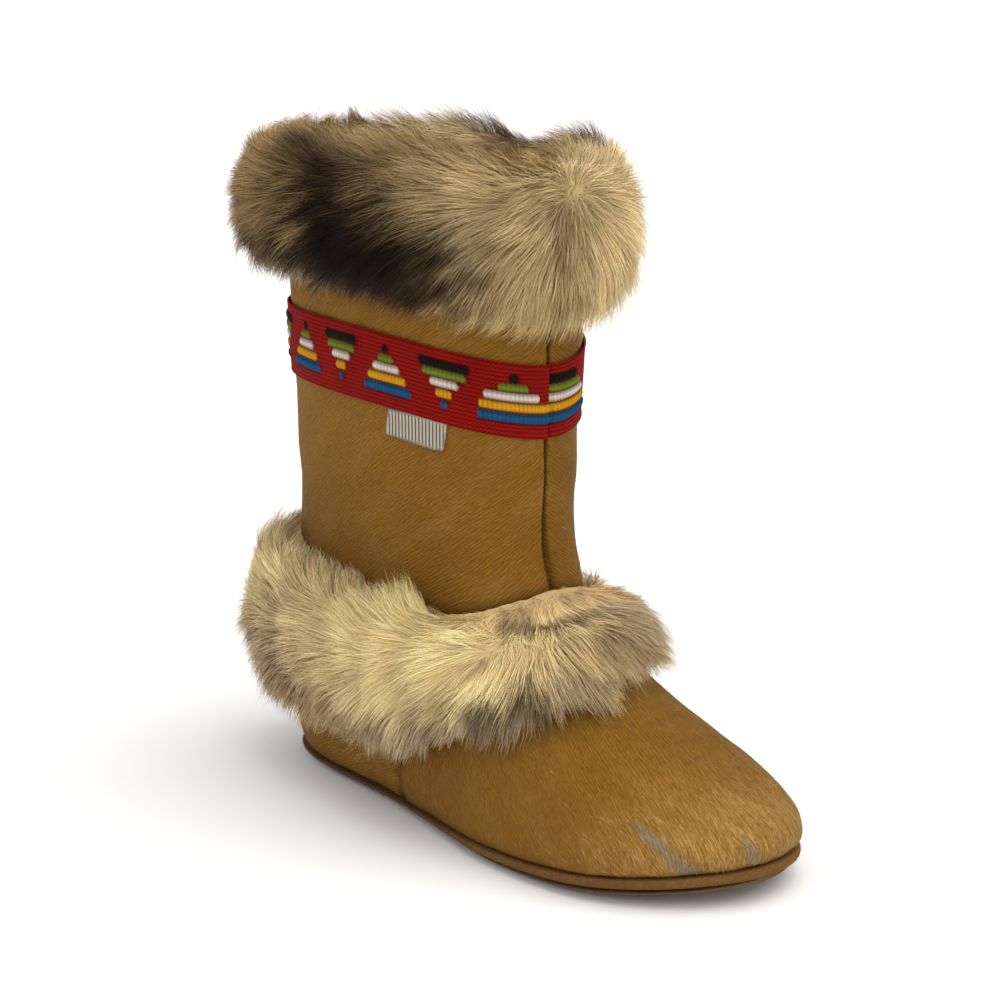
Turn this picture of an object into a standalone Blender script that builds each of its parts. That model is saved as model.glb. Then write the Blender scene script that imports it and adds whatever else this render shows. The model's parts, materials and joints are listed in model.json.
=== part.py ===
"""Apres-ski boot: a short pull-on winter boot for the right foot.

A foot of hair-on hide stands on a leather-wrapped midsole and a thin crepe outsole. A straight shaft of the
same hide is sewn to it round the ankle, with a seam down its front and its back. A roll of deep fur caps the
shaft, a second strip of fur hangs over the ankle seam, and a woven tape with a small cloth label rings the
shaft between them.

Sizes are in millimetres and become metres when a mesh is made. +X points to the toe, +Z up, and -Y to the
wearer's right, which is the outer side. The origin is the centre of the heel's flat on the floor.
"""

import math

import bmesh
import bpy
import numpy as np
from mathutils import Matrix, Vector

MM = 0.001

# Driving dimensions
BALL_WIDTH = 98.0
COLLAR_HEIGHT = 236.0
FRONT_DIP = 10.5
WALL = 2.8
GAP = 0.35

# The sole, from the floor up. The arch and the toe spring are given as shares of the foot's length.
OUTSOLE_THICK = 2.2
OUTSOLE_INSET = 2.6
OUTSOLE_ROUND = 0.5
INSOLE_THICK = 3.4
INSOLE_INSET = 0.9
ARCH_RISE = 0.5
ARCH_SPAN = (0.28, 0.56)
TOE_SPRING = 6.6
TOE_SPRING_START = 0.66

# The tape round the shaft, and the label that hangs from its lower edge on the outer side.
TAPE_BOTTOM = 151.5
TAPE_TOP = 179.0
TAPE_THICK = 1.3
LABEL_TURNS = (0.79, 1.22)
LABEL_DROP = 11.5
LABEL_LEAN = 0.035
LABEL_THICK = 0.8
LABEL_COLUMNS = 7

# The seams down the shaft's front and back sink into a narrow groove.
GROOVE_DEPTH = 1.6
SEAM_COLUMN = 0.03

AROUND = 44


def table(columns, rows):
    """A table as one array for each named column."""
    values = np.array(rows, float).T
    return dict(zip(columns.split(), values))


# The sole's outline: half width as a share of half the ball width, and how far its middle leans inwards.
OUTLINE = table(
    "station half_width centre",
    [
        (0.00, 0.650, 0.0),
        (0.15, 0.680, 0.0),
        (0.32, 0.715, -1.0),
        (0.50, 0.850, -2.0),
        (0.66, 0.995, -1.5),
        (0.78, 1.000, 0.5),
        (0.90, 0.900, 4.0),
        (1.00, 0.780, 6.0),
    ],
)
HEEL_ROUND = 0.19
TOE_ROUND = 0.170

# The last: each row is one ring round the foot and leg, from the feather line to the collar. A ring runs from
# a point on the heel's back to one on the ridge of vamp, instep and shin. "lean" bends the ring between them,
# "dip" lowers its sides before the ankle, and "leg" is its share of the leg's oval against the foot's section.
SECTIONS = table(
    "back_x back_z ridge_x ridge_z lean dip leg",
    [
        (-34.5, 4.9, 226.0, 14.4, 4.0, 0.0, 0.00),
        (-37.0, 11.5, 229.0, 19.6, 3.7, 0.0, 0.00),
        (-39.0, 20.5, 226.5, 25.2, 3.2, 0.0, 0.00),
        (-40.5, 29.0, 216.0, 31.0, 2.8, 0.0, 0.00),
        (-41.0, 37.5, 201.0, 38.8, 2.4, 0.0, 0.00),
        (-40.5, 46.5, 184.0, 47.6, 2.2, 1.0, 0.06),
        (-39.5, 55.5, 165.5, 56.2, 2.0, 3.0, 0.18),
        (-37.5, 64.5, 147.0, 66.0, 1.8, 5.5, 0.36),
        (-35.0, 74.5, 129.5, 76.5, 1.6, 8.0, 0.60),
        (-32.0, 87.0, 114.5, 90.5, 1.4, 10.5, 0.84),
        (-29.5, 106.0, 108.5, 105.0, 1.2, 6.5, 1.00),
        (-29.5, 131.0, 108.0, 123.0, 2.0, 2.0, 1.00),
        (-31.0, TAPE_BOTTOM + FRONT_DIP, 109.2, TAPE_BOTTOM, 5.0, 0.0, 1.00),
        (-32.5, TAPE_TOP + FRONT_DIP, 110.5, TAPE_TOP, 5.0, 0.0, 1.00),
        (-34.0, 209.0 + FRONT_DIP, 112.0, 209.0, 5.0, 0.0, 1.00),
        (-35.0, COLLAR_HEIGHT + FRONT_DIP, 113.0, COLLAR_HEIGHT, 5.0, 0.0, 1.00),
    ],
)
# Where a ring dips, along**2 * (1 - along) peaks at 4/27.
DIP_PEAK = 4 / 27
WIDEST_RING = 1
SEAM_RING = 9
SEAM_LIFT = 0.45
STRAIGHT_RING = 11
TAPE_RINGS = (12, 13)
COLLAR_RING = 15
RIDGE_SLOPE = 3.2
DOME_POWER = 2.0
TUCK = 0.035
UPPER_BULGE = 1.0

# The leg's oval: half width by height, and how square its corners are.
LEG = table(
    "height half_width",
    [(40.0, 37.0), (100.0, 38.0), (180.0, 41.0), (COLLAR_HEIGHT + FRONT_DIP, 43.5)],
)
LEG_SQUARENESS = 2.3

# The sides of the midsole and the insole, from the underside up. "height" is a share of the thickness, and
# "out" is how far the side stands outside its outline.
MIDSOLE_SIDE = table(
    "height out",
    [(0.0, -1.6), (0.25, 1.1), (0.6, 1.4), (0.92, 0.85), (1.0, 0.0)],
)
INSOLE_SIDE = table("height out", [(0.0, 0.0), (0.7, 0.0), (1.0, -0.8)])


def smooth(at, xs, ys):
    """A curve through a table's points that never overshoots them."""
    steps = np.diff(xs)
    slopes = np.diff(ys) / steps
    tangents = np.zeros(len(xs))
    for i in range(1, len(xs) - 1):
        if slopes[i - 1] * slopes[i] > 0:
            before = 2 * steps[i] + steps[i - 1]
            after = steps[i] + 2 * steps[i - 1]
            tangents[i] = (before + after) / (before / slopes[i - 1] + after / slopes[i])
    tangents[0] = slopes[0]
    tangents[-1] = slopes[-1]
    at = np.clip(at, xs[0], xs[-1])
    i = np.clip(np.searchsorted(xs, at) - 1, 0, len(xs) - 2)
    t = (at - xs[i]) / steps[i]
    start = (1 + 2 * t) * (1 - t) ** 2 * ys[i] + t * (1 - t) ** 2 * steps[i] * tangents[i]
    end = t * t * (3 - 2 * t) * ys[i + 1] - t * t * (1 - t) * steps[i] * tangents[i + 1]
    return start + end


def angles():
    """The angles of the points round a ring. 0 is the front, and two narrow columns flank each seam."""
    even = 2 * math.pi * np.arange(AROUND) / AROUND
    beside = [SEAM_COLUMN, math.pi - SEAM_COLUMN, math.pi + SEAM_COLUMN, 2 * math.pi - SEAM_COLUMN]
    return np.sort(np.concatenate([even, beside]))


ANGLES = angles()
COLUMNS = len(ANGLES)


def foot_half_width(station):
    """The outline's half width, rounded off at the heel and the toe."""
    station = np.clip(station, 0.0, 1.0)
    heel = 1 - np.clip(1 - station / HEEL_ROUND, 0, 1) ** 2
    toe = 1 - np.clip(1 - (1 - station) / TOE_ROUND, 0, 1) ** 2
    share = smooth(station, OUTLINE["station"], OUTLINE["half_width"])
    return BALL_WIDTH / 2 * share * np.sqrt(heel * toe)


def foot_centre(station):
    return smooth(station, OUTLINE["station"], OUTLINE["centre"])


def ring_values(level):
    """One row of SECTIONS, or a smooth step between two rows."""
    rows = np.arange(len(SECTIONS["back_x"]), dtype=float)
    return {name: float(smooth(level, rows, column)) for name, column in SECTIONS.items()}


def ridge_height(x):
    """The height of the ridge of vamp and instep over x. Behind the shin it climbs steeply out of the way."""
    rows = slice(WIDEST_RING, STRAIGHT_RING + 1)
    xs = SECTIONS["ridge_x"][rows][::-1]
    zs = SECTIONS["ridge_z"][rows][::-1]
    return smooth(x, xs, zs) + RIDGE_SLOPE * np.clip(xs[0] - x, 0, None)


def ring(level, turns=ANGLES):
    """The outer surface's points round the last at one level, from the front round the outer side."""
    row = ring_values(level)
    widest = ring_values(WIDEST_RING)
    length = row["ridge_x"] - row["back_x"]
    x = row["back_x"] + length * (1 + np.cos(turns)) / 2
    along = (x - row["back_x"]) / length
    rise = row["ridge_z"] - row["back_z"]
    z = row["back_z"] + rise * along ** row["lean"] - row["dip"] / DIP_PEAK * along**2 * (1 - along)

    reach = row["ridge_x"] if level <= WIDEST_RING else widest["ridge_x"]
    station = (x - row["back_x"]) / (reach - row["back_x"])
    waterline = widest["back_z"] + (widest["ridge_z"] - widest["back_z"]) * along ** widest["lean"]
    if level <= WIDEST_RING:
        dome = np.full(len(x), 1 - TUCK * (1 - level / WIDEST_RING) ** 2)
    else:
        high = (z - waterline) / np.maximum(ridge_height(x) - waterline, 1e-6)
        dome = np.sqrt(1 - np.clip(high, 0, 1) ** DOME_POWER)
    foot = (foot_half_width(station) + UPPER_BULGE * (foot_half_width(station) > 0)) * dome

    leg_width = smooth(z, LEG["height"], LEG["half_width"])
    oval = leg_width * (1 - np.abs(2 * along - 1) ** LEG_SQUARENESS) ** (1 / LEG_SQUARENESS)
    half = (1 - row["leg"]) * foot + row["leg"] * oval
    centre = (1 - row["leg"]) * foot_centre(station)
    side = np.sign(np.round(np.sin(turns), 9))
    y = centre - side * half
    return np.stack([x, y, z], axis=1)


def normals(level, turns=ANGLES):
    """The outer surface's outward normals at the points of one ring."""
    step = 1e-3
    up = ring(min(level + step, COLLAR_RING), turns) - ring(max(level - step, 0), turns)
    onward = ring(level, turns + step) - ring(level, turns - step)
    outward = np.cross(up, onward)
    return outward / np.linalg.norm(outward, axis=1, keepdims=True)


def grow(points, distance):
    """A ring moved outwards by a distance, level with the floor."""
    onward = np.roll(points, -1, axis=0) - np.roll(points, 1, axis=0)
    outward = np.stack([-onward[:, 1], onward[:, 0], np.zeros(len(points))], axis=1)
    return points + distance * outward / np.linalg.norm(outward, axis=1, keepdims=True)


def floor_height(points):
    """How far the outsole's underside stands above the floor at each point: its arch and its toe spring."""
    station = (points[:, 0] - points[:, 0].min()) / np.ptp(points[:, 0])
    arch = np.clip((station - ARCH_SPAN[0]) / (ARCH_SPAN[1] - ARCH_SPAN[0]), 0, 1)
    spring = np.clip((station - TOE_SPRING_START) / (1 - TOE_SPRING_START), 0, 1)
    return ARCH_RISE * np.sin(math.pi * arch) ** 2 + TOE_SPRING * spring**2


def at_height(points, heights):
    """A ring with new heights."""
    return np.stack([points[:, 0], points[:, 1], heights], axis=1)


# Meshes


def material(name, colour, roughness):
    surface = bpy.data.materials.new(name)
    surface.use_nodes = True
    shader = surface.node_tree.nodes["Principled BSDF"]
    shader.inputs["Base Color"].default_value = (*colour, 1.0)
    shader.inputs["Roughness"].default_value = roughness
    shader.inputs["Metallic"].default_value = 0.0
    return surface


def add_piece(name, bm, surface):
    """Make the named object from a finished mesh, in metres."""
    bmesh.ops.scale(bm, vec=(MM, MM, MM), verts=bm.verts)
    bmesh.ops.recalc_face_normals(bm, faces=bm.faces)
    mesh = bpy.data.meshes.new(name)
    bm.to_mesh(mesh)
    bm.free()
    mesh.shade_smooth()
    mesh.set_sharp_from_angle(angle=math.radians(40))
    mesh.materials.append(surface)
    piece = bpy.data.objects.new(name, mesh)
    bpy.context.scene.collection.objects.link(piece)
    return piece


def skin(bm, rings):
    """Faces from each ring to the next. It returns the rings' vertices."""
    loops = [[bm.verts.new(point) for point in points] for points in rings]
    for lower, upper in zip(loops, loops[1:]):
        join(bm, lower, upper)
    return loops


def join(bm, lower, upper):
    """A band of faces between two rings' vertices."""
    for i in range(COLUMNS):
        j = (i + 1) % COLUMNS
        bm.faces.new((lower[i], lower[j], upper[j], upper[i]))


def cap(bm, loop):
    """Close a ring with strips, each from an edge to the one across from it."""
    for i in range(COLUMNS // 2):
        corners = (loop[i], loop[i + 1], loop[(COLUMNS - i - 1) % COLUMNS], loop[(COLUMNS - i) % COLUMNS])
        bm.faces.new(list(dict.fromkeys(corners)))


def slab(name, rings, surface):
    """A solid through rings from the lowest to the highest, closed at both ends."""
    bm = bmesh.new()
    loops = skin(bm, rings)
    cap(bm, loops[0])
    cap(bm, loops[-1])
    return add_piece(name, bm, surface)


def sleeve(name, rings, surface):
    """A hollow solid round the foot: the last ring joins the first, so that both ends stay open."""
    bm = bmesh.new()
    loops = skin(bm, rings)
    join(bm, loops[-1], loops[0])
    return add_piece(name, bm, surface)


# Sole


def outsole():
    outline = grow(ring(0), -OUTSOLE_INSET)
    floor = floor_height(outline)
    rings = [
        at_height(grow(outline, -OUTSOLE_ROUND), floor),
        at_height(outline, floor + OUTSOLE_ROUND),
        at_height(outline, floor + OUTSOLE_THICK),
    ]
    return slab("outsole", rings, material("crepe", (0.52, 0.36, 0.19), 0.75))


def midsole():
    feather = ring(0)
    bottom = floor_height(feather) + OUTSOLE_THICK + GAP
    thick = feather[:, 2] - GAP - bottom
    rings = [
        at_height(grow(feather, out), bottom + height * thick)
        for height, out in zip(*MIDSOLE_SIDE.values())
    ]
    return slab("midsole", rings, material("leather", (0.19, 0.085, 0.03), 0.6))


def insole():
    """A felt sheet inside the upper, on top of the midsole."""
    feather = ring(0)
    outline = grow(feather, -(WALL + INSOLE_INSET))
    rings = [
        at_height(grow(outline, out), feather[:, 2] + height * INSOLE_THICK)
        for height, out in zip(*INSOLE_SIDE.values())
    ]
    return slab("insole", rings, material("felt", (0.55, 0.46, 0.34), 0.95))


# Upper and shaft


def wall(outer, outward):
    """The rings of a wall: up its outer face and down its inner face."""
    inner = [points - WALL * away for points, away in zip(outer, outward)]
    return outer + inner[::-1]


def upper():
    """The foot, from the feather line to the ankle seam. It is open underneath and at the ankle."""
    levels = range(SEAM_RING + 1)
    outer = [ring(level) for level in levels]
    outward = [normals(level) for level in levels]
    outward[0][:, 2] = 0
    return sleeve("upper", wall(outer, outward), material("hide", (0.31, 0.15, 0.032), 0.8))


def shaft_face(level):
    """The shaft's outer face at one ring, with the grooves of its front and back seams."""
    sunk = np.isclose(np.abs(np.cos(ANGLES)), 1.0, atol=1e-6)
    return ring(level) - GROOVE_DEPTH * sunk[:, None] * normals(level)


def shaft():
    """The tube from the ankle seam to the collar."""
    levels = range(SEAM_RING, COLLAR_RING + 1)
    outer = [shaft_face(level) for level in levels]
    outward = [normals(level) for level in levels]
    rings = wall(outer, outward)
    lift = np.array([0.0, 0.0, SEAM_LIFT])
    rings[0] = ring(SEAM_RING) + lift
    rings[-1] = ring(SEAM_RING) - WALL * outward[0] + lift
    return sleeve("shaft", rings, material("shaft_hide", (0.29, 0.135, 0.028), 0.8))


def tape():
    """A woven tape sewn flat round the shaft."""
    low, high = (shaft_face(level) for level in TAPE_RINGS)
    out_low, out_high = (normals(level) for level in TAPE_RINGS)
    rings = [
        low + GAP * out_low,
        low + (GAP + TAPE_THICK) * out_low,
        high + (GAP + TAPE_THICK) * out_high,
        high + GAP * out_high,
    ]
    return sleeve("woven_tape", rings, material("tape", (0.42, 0.014, 0.012), 0.9))


def label():
    """A small cloth tab on the shaft, under the tape's lower edge."""
    turns = np.linspace(*LABEL_TURNS, LABEL_COLUMNS)
    rows = []
    for lift in (GAP, GAP + LABEL_THICK):
        for drop, lean in ((GAP, 0.0), (LABEL_DROP, LABEL_LEAN)):
            edge = ring(TAPE_RINGS[0], turns + lean)
            below = ring(TAPE_RINGS[0] - 1, turns + lean) - edge
            share = drop / np.linalg.norm(below, axis=1, keepdims=True)
            rows.append(edge + share * below + lift * normals(TAPE_RINGS[0], turns + lean))
    bm = bmesh.new()
    back_top, back_low, front_top, front_low = ([bm.verts.new(point) for point in row] for row in rows)
    edges = ((back_low, back_top), (front_top, front_low), (back_top, front_top), (front_low, back_low))
    for one, other in edges:
        for i in range(LABEL_COLUMNS - 1):
            bm.faces.new((one[i], one[i + 1], other[i + 1], other[i]))
    for end in (0, -1):
        bm.faces.new((back_top[end], front_top[end], front_low[end], back_low[end]))
    return add_piece("label", bm, material("label_cloth", (0.45, 0.43, 0.38), 0.9))


# Fur
#
# Each fur is turned round the boot from a section. For the cuff "out" is the distance outwards from the
# shaft's face and "rise" the height over the collar. For the ankle fur "down" is the distance down the boot's
# face from the ankle seam, and "off" the distance off that face.
CUFF_SECTION = table(
    "out rise crown",
    [
        (GAP, -37.0, 0.0),
        (8.0, -39.0, 0.0),
        (15.0, -34.0, 0.0),
        (18.5, -24.0, 0.1),
        (18.0, -11.0, 0.45),
        (14.5, -0.5, 0.8),
        (7.5, 5.0, 1.0),
        (-1.5, 7.0, 1.0),
        (-9.5, 4.0, 1.0),
        (-12.5, -4.0, 0.6),
        (-WALL - GAP, -13.0, 0.0),
        (-WALL - GAP, GAP, 0.0),
        (GAP, GAP, 0.0),
    ],
)
# The collar slopes down to the front, but the cuff's top is nearly level: its crown stands this much higher there.
FRONT_CROWN = 9.0
ANKLE_SECTION = table(
    "down off",
    [
        (-3.0, 0.5),
        (0.0, 0.5),
        (12.0, 1.5),
        (26.0, 2.8),
        (38.0, 4.5),
        (42.0, 9.0),
        (38.0, 15.0),
        (27.0, 19.5),
        (13.0, 20.5),
        (1.0, 16.5),
        (-6.0, 8.0),
    ],
)
# Round the boot the ankle fur hangs lower at the sides and lies flatter at the front. Both are shares of its
# section, by the angle from the front round the outer side.
ANKLE_FALL = table(
    "turn hang depth",
    [
        (0.0, 1.22, 0.75),
        (0.8, 1.48, 0.90),
        (1.4, 1.56, 1.00),
        (2.3, 1.38, 1.00),
        (math.pi, 1.10, 1.00),
        (4.4, 1.20, 0.95),
        (5.4, 1.05, 0.70),
        (2 * math.pi, 1.22, 0.75),
    ],
)
CLOSE_LIFT = 5.0

# Rows of locks: where a row sits on the section, how many locks it has, how far they stand out, how far
# their tips are combed along the section, and the radius of their roots.
CUFF_LOCKS = table(
    "place count length comb radius",
    [
        (1.7, 20, 6.0, -4.0, 5.0),
        (2.9, 22, 6.5, -6.0, 6.5),
        (4.2, 22, 6.5, 4.0, 6.5),
        (5.6, 20, 7.0, 5.0, 6.5),
        (7.4, 16, 6.0, 0.0, 5.0),
    ],
)
ANKLE_LOCKS = table(
    "place count length comb radius",
    [
        (5.3, 20, 6.0, -5.0, 4.5),
        (6.6, 20, 6.0, -8.0, 6.0),
        (8.0, 20, 6.0, -8.0, 6.0),
        (9.4, 18, 6.0, 4.0, 5.0),
    ],
)
LOCK_TIP = 0.6
LOCK_ROOT = 3.0
# No two locks are alike: how far one strays from its even place, as a share of their spacing, how long it is
# against its row's length, and how far its tip sways along the row.
LOCK_STRAY = 0.15
LOCK_LENGTHS = (0.85, 1.2)
LOCK_SWAY = 3.0
# Small steps along a row and across it, to find which way the fur's surface faces.
TURN_STEP = 0.05
PLACE_STEP = 0.3


def cuff_rings():
    """Rings beside the shaft's wall and, above the collar, beside its straight continuation."""
    levels = range(STRAIGHT_RING, COLLAR_RING + 1)
    faces = np.array([shaft_face(level) for level in levels])
    outward = grow(faces[-1], 1.0) - faces[-1]
    fuller = FRONT_CROWN * (1 + np.cos(ANGLES)) / 2
    rings = []
    for out, rise, crown in zip(*CUFF_SECTION.values()):
        points = np.empty((COLUMNS, 3))
        for i in range(COLUMNS):
            height = faces[-1, i, 2] + rise + crown * fuller[i]
            points[i, :2] = [np.interp(height, faces[:, i, 2], faces[:, i, axis]) for axis in (0, 1)]
            points[i, 2] = height
        rings.append(points + out * outward)
    return rings


def ankle_rings():
    """Rings that follow the boot's face down from the ankle seam, column by column."""
    levels = np.arange(SEAM_RING + 2)
    faces = np.array([ring(level) for level in levels])
    outward = np.array([normals(level) for level in levels])
    steps = np.linalg.norm(np.diff(faces, axis=0), axis=2)
    climbed = np.vstack([np.zeros(COLUMNS), np.cumsum(steps, axis=0)])
    above = climbed - climbed[SEAM_RING]
    hang = smooth(ANGLES, ANKLE_FALL["turn"], ANKLE_FALL["hang"])
    depth = smooth(ANGLES, ANKLE_FALL["turn"], ANKLE_FALL["depth"])
    rings = []
    for down, off in zip(*ANKLE_SECTION.values()):
        points = np.empty((COLUMNS, 3))
        for i in range(COLUMNS):
            reach = down * hang[i] if down > 0 else down
            level = np.interp(-reach, above[:, i], levels)
            low = min(int(level), SEAM_RING)
            share = level - low
            face = (1 - share) * faces[low, i] + share * faces[low + 1, i]
            away = (1 - share) * outward[low, i] + share * outward[low + 1, i]
            lift = off * depth[i] if off > CLOSE_LIFT else off
            points[i] = face + lift * unit(away)
        rings.append(points)
    return rings


def on_rings(rings, place, turn):
    """The point at a place between two rings and at an angle round them."""
    low = int(place)
    across = (1 - place + low) * rings[low] + (place - low) * rings[low + 1]
    around = np.append(ANGLES, 2 * math.pi)
    closed = np.vstack([across, across[:1]])
    return np.array([np.interp(turn, around, closed[:, axis]) for axis in range(3)])


def fur(name, rings, locks, surface, seed):
    """A thick ring of fur with tapering locks fused to it."""
    body = sleeve(name, rings, surface)
    chance = np.random.default_rng(seed)
    bm = bmesh.new()
    for place, count, length, comb, radius in zip(*locks.values()):
        for i in range(int(count)):
            share = (i + 0.5 * (place % 2) + chance.uniform(-LOCK_STRAY, LOCK_STRAY)) / count
            turn = 2 * math.pi * (share % 1)
            root = on_rings(rings, place, turn)
            onward = unit(on_rings(rings, place, (turn + TURN_STEP) % (2 * math.pi)) - root)
            above = on_rings(rings, place + PLACE_STEP, turn)
            below = on_rings(rings, place - PLACE_STEP, turn)
            across = unit(above - below)
            away = np.cross(across, onward)
            tip = root + away * length * chance.uniform(*LOCK_LENGTHS)
            tip += across * comb + onward * chance.uniform(-LOCK_SWAY, LOCK_SWAY)
            add_lock(bm, root - LOCK_ROOT * away, tip, radius)
    cones = add_piece(name + "_locks", bm, surface)
    cones.hide_render = True
    cones.display_type = "WIRE"
    union = body.modifiers.new("locks", "BOOLEAN")
    union.operation = "UNION"
    union.solver = "EXACT"
    union.use_self = True
    union.object = cones
    return body


def unit(vector):
    return vector / np.linalg.norm(vector)


def add_lock(bm, root, tip, radius):
    """A four-sided cone from its root inside the fur to its tip."""
    root, tip = Vector(root), Vector(tip)
    length = (tip - root).length
    turned = (tip - root).to_track_quat("Z", "Y").to_matrix().to_4x4()
    place = Matrix.Translation((root + tip) / 2) @ turned
    bmesh.ops.create_cone(
        bm, cap_ends=True, segments=4, radius1=radius, radius2=LOCK_TIP, depth=length, matrix=place
    )


def main():
    for old in list(bpy.data.objects):
        bpy.data.objects.remove(old, do_unlink=True)
    outsole()
    midsole()
    insole()
    upper()
    shaft()
    tape()
    label()
    fur("fur_cuff", cuff_rings(), CUFF_LOCKS, material("cuff_fur", (0.42, 0.29, 0.16), 0.9), 3)
    fur("ankle_fur", ankle_rings(), ANKLE_LOCKS, material("trim_fur", (0.45, 0.32, 0.18), 0.9), 5)


if __name__ == "__main__":
    main()
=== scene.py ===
"""The looks of the apres-ski boot: hair-on hide, deep fur at the cuff and the ankle, a woven tape with a
cloth label, and a leather-wrapped sole, set on a pale floor in soft light.

Lengths in the tables are in millimetres. A turn is the angle round the leg, in radians, from the front round
the outer side. A place is the angle round a fur's own roll: 0 faces outwards, a quarter turn is its top.
"""

import json
import math

import bmesh
import bpy
import numpy as np
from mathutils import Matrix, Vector
from mathutils.bvhtree import BVHTree
from mathutils.kdtree import KDTree

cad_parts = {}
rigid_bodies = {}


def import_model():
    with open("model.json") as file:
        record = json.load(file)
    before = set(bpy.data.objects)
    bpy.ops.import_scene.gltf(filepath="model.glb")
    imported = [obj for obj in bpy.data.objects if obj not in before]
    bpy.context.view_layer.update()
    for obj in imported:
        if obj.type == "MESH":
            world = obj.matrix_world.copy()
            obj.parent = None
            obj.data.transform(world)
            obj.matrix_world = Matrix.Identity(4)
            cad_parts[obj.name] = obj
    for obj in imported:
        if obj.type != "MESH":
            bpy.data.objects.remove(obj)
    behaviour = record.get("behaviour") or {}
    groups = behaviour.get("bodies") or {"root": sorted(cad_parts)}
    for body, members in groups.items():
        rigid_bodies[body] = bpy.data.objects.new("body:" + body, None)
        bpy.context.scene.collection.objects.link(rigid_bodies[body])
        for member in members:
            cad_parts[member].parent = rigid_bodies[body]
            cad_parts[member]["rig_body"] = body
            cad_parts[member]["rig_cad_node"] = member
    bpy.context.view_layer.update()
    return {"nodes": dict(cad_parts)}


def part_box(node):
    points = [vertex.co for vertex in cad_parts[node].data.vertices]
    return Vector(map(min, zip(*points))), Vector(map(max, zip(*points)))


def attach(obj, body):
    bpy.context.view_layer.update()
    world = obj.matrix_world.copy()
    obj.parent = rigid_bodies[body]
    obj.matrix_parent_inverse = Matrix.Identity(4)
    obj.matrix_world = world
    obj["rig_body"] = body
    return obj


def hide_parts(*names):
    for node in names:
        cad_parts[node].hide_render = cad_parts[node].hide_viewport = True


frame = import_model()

MM = 0.001
TURN = 2 * math.pi
nodes = frame["nodes"]

shaft_low, shaft_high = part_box("shaft")
LEG_MIDDLE = np.array((shaft_low + shaft_high) / 2)
LEG_HALF = np.array((shaft_high - shaft_low) / 2)


# ---------------------------------------------------------------- small helpers


def rows_of(text):
    """The rows of a written table, in which # starts a remark."""
    rows = [line.split("#")[0].split() for line in text.splitlines()]
    return [row for row in rows if row]


def table(columns, text):
    """A written table as one array for each named column."""
    return dict(zip(columns.split(), np.array(rows_of(text), float).T))


def unit(vectors):
    return vectors / np.maximum(np.linalg.norm(vectors, axis=-1, keepdims=True), 1e-12)


def bell(distance, width):
    return np.exp(-0.5 * (distance / width) ** 2)


def ramp(value, start, end):
    share = np.clip((value - start) / (end - start), 0, 1)
    return share * share * (3 - 2 * share)


def wrapped(angle):
    """An angle brought between minus and plus half a turn."""
    return (angle + math.pi) % TURN - math.pi


def dot(one, other):
    return (one * other).sum(-1)


def turns_of(points):
    across = (points[:, 0] - LEG_MIDDLE[0]) / LEG_HALF[0]
    aside = -(points[:, 1] - LEG_MIDDLE[1]) / LEG_HALF[1]
    return np.arctan2(aside, across) % TURN


def onward_of(turns):
    """The level direction in which the turn grows."""
    return unit(np.stack([-np.sin(turns) * LEG_HALF[0], -np.cos(turns) * LEG_HALF[1], 0 * turns], 1))


def outward_of(turns):
    """The level direction that leads straight out of the leg."""
    return np.cross([0.0, 0.0, 1.0], onward_of(turns))


def on_oval(turns, middle, heights):
    """Places on the leg's oval."""
    across, aside = np.cos(turns) * LEG_HALF[0], -np.sin(turns) * LEG_HALF[1]
    return np.stack([across + middle[0], aside + middle[1], heights], 1)


def gone_round(steps):
    """The distance round the leg's oval from the front seam to each step, in metres."""
    pace = np.hypot(np.sin(steps) * LEG_HALF[0], np.cos(steps) * LEG_HALF[1])
    return np.concatenate([[0], np.cumsum((pace[1:] + pace[:-1]) / 2 * np.diff(steps))])


def ripple(points, scale, seed):
    """A smooth made-up unevenness between about -1 and 1, with bumps about scale across."""
    chance = np.random.default_rng(seed)
    total = np.zeros(len(points))
    for octave in range(2):
        for _ in range(6):
            way = unit(chance.normal(size=3))
            pitch = scale * chance.uniform(0.7, 1.5) / 2**octave
            total += 0.5**octave * np.sin(points @ way * TURN / pitch + chance.uniform(0, TURN))
    return total / 3.2


def measured_round(node, measure, reach):
    """What measure finds among a ring's points near each turn, with all but four waves left out."""
    points = points_of(nodes[node])
    turns = turns_of(points)
    steps = np.linspace(0, TURN, 73)
    near = [np.abs(wrapped(turns - step)) < reach for step in steps]
    found = np.array([measure(points[beside], turns[beside]) for beside in near])
    waves = [wave(k * steps) for k in range(1, 5) for wave in (np.cos, np.sin)]
    waves = np.stack([np.ones(len(steps))] + waves, 1)
    return steps, waves @ np.linalg.lstsq(waves, found, rcond=None)[0]


def fetched(items, name, width=3, kind=np.float32):
    """One reading of each vertex, edge, face or corner."""
    values = np.empty(len(items) * width, kind)
    items.foreach_get(name, values)
    return values.reshape(-1, width) if width > 1 else values


def points_of(piece):
    return fetched(piece.data.vertices, "co").astype(float)


def normals_of(piece):
    return fetched(piece.data.vertex_normals, "vector").astype(float)


def move_points(piece, points):
    piece.data.vertices.foreach_set("co", points.astype(np.float32).ravel())
    piece.data.update()


def nearest_on(tree, points):
    """Each point's nearest point on a surface, and the surface's normal there."""
    spots, ways = np.empty_like(points), np.empty_like(points)
    for i, point in enumerate(points):
        spot, way, _, _ = tree.find_nearest(point)
        spots[i], ways[i] = spot, way
    return spots, ways


# ---------------------------------------------------------------- pieces


def only(piece):
    bpy.ops.object.select_all(action="DESELECT")
    piece.select_set(True)
    bpy.context.view_layer.objects.active = piece


def edit(piece, job, every=True, **settings):
    """One job in edit mode, on the whole piece or on the faces selected before."""
    only(piece)
    bpy.ops.object.mode_set(mode="EDIT")
    if every:
        bpy.ops.mesh.select_all(action="SELECT")
    job(**settings)
    bpy.ops.object.mode_set(mode="OBJECT")


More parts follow.
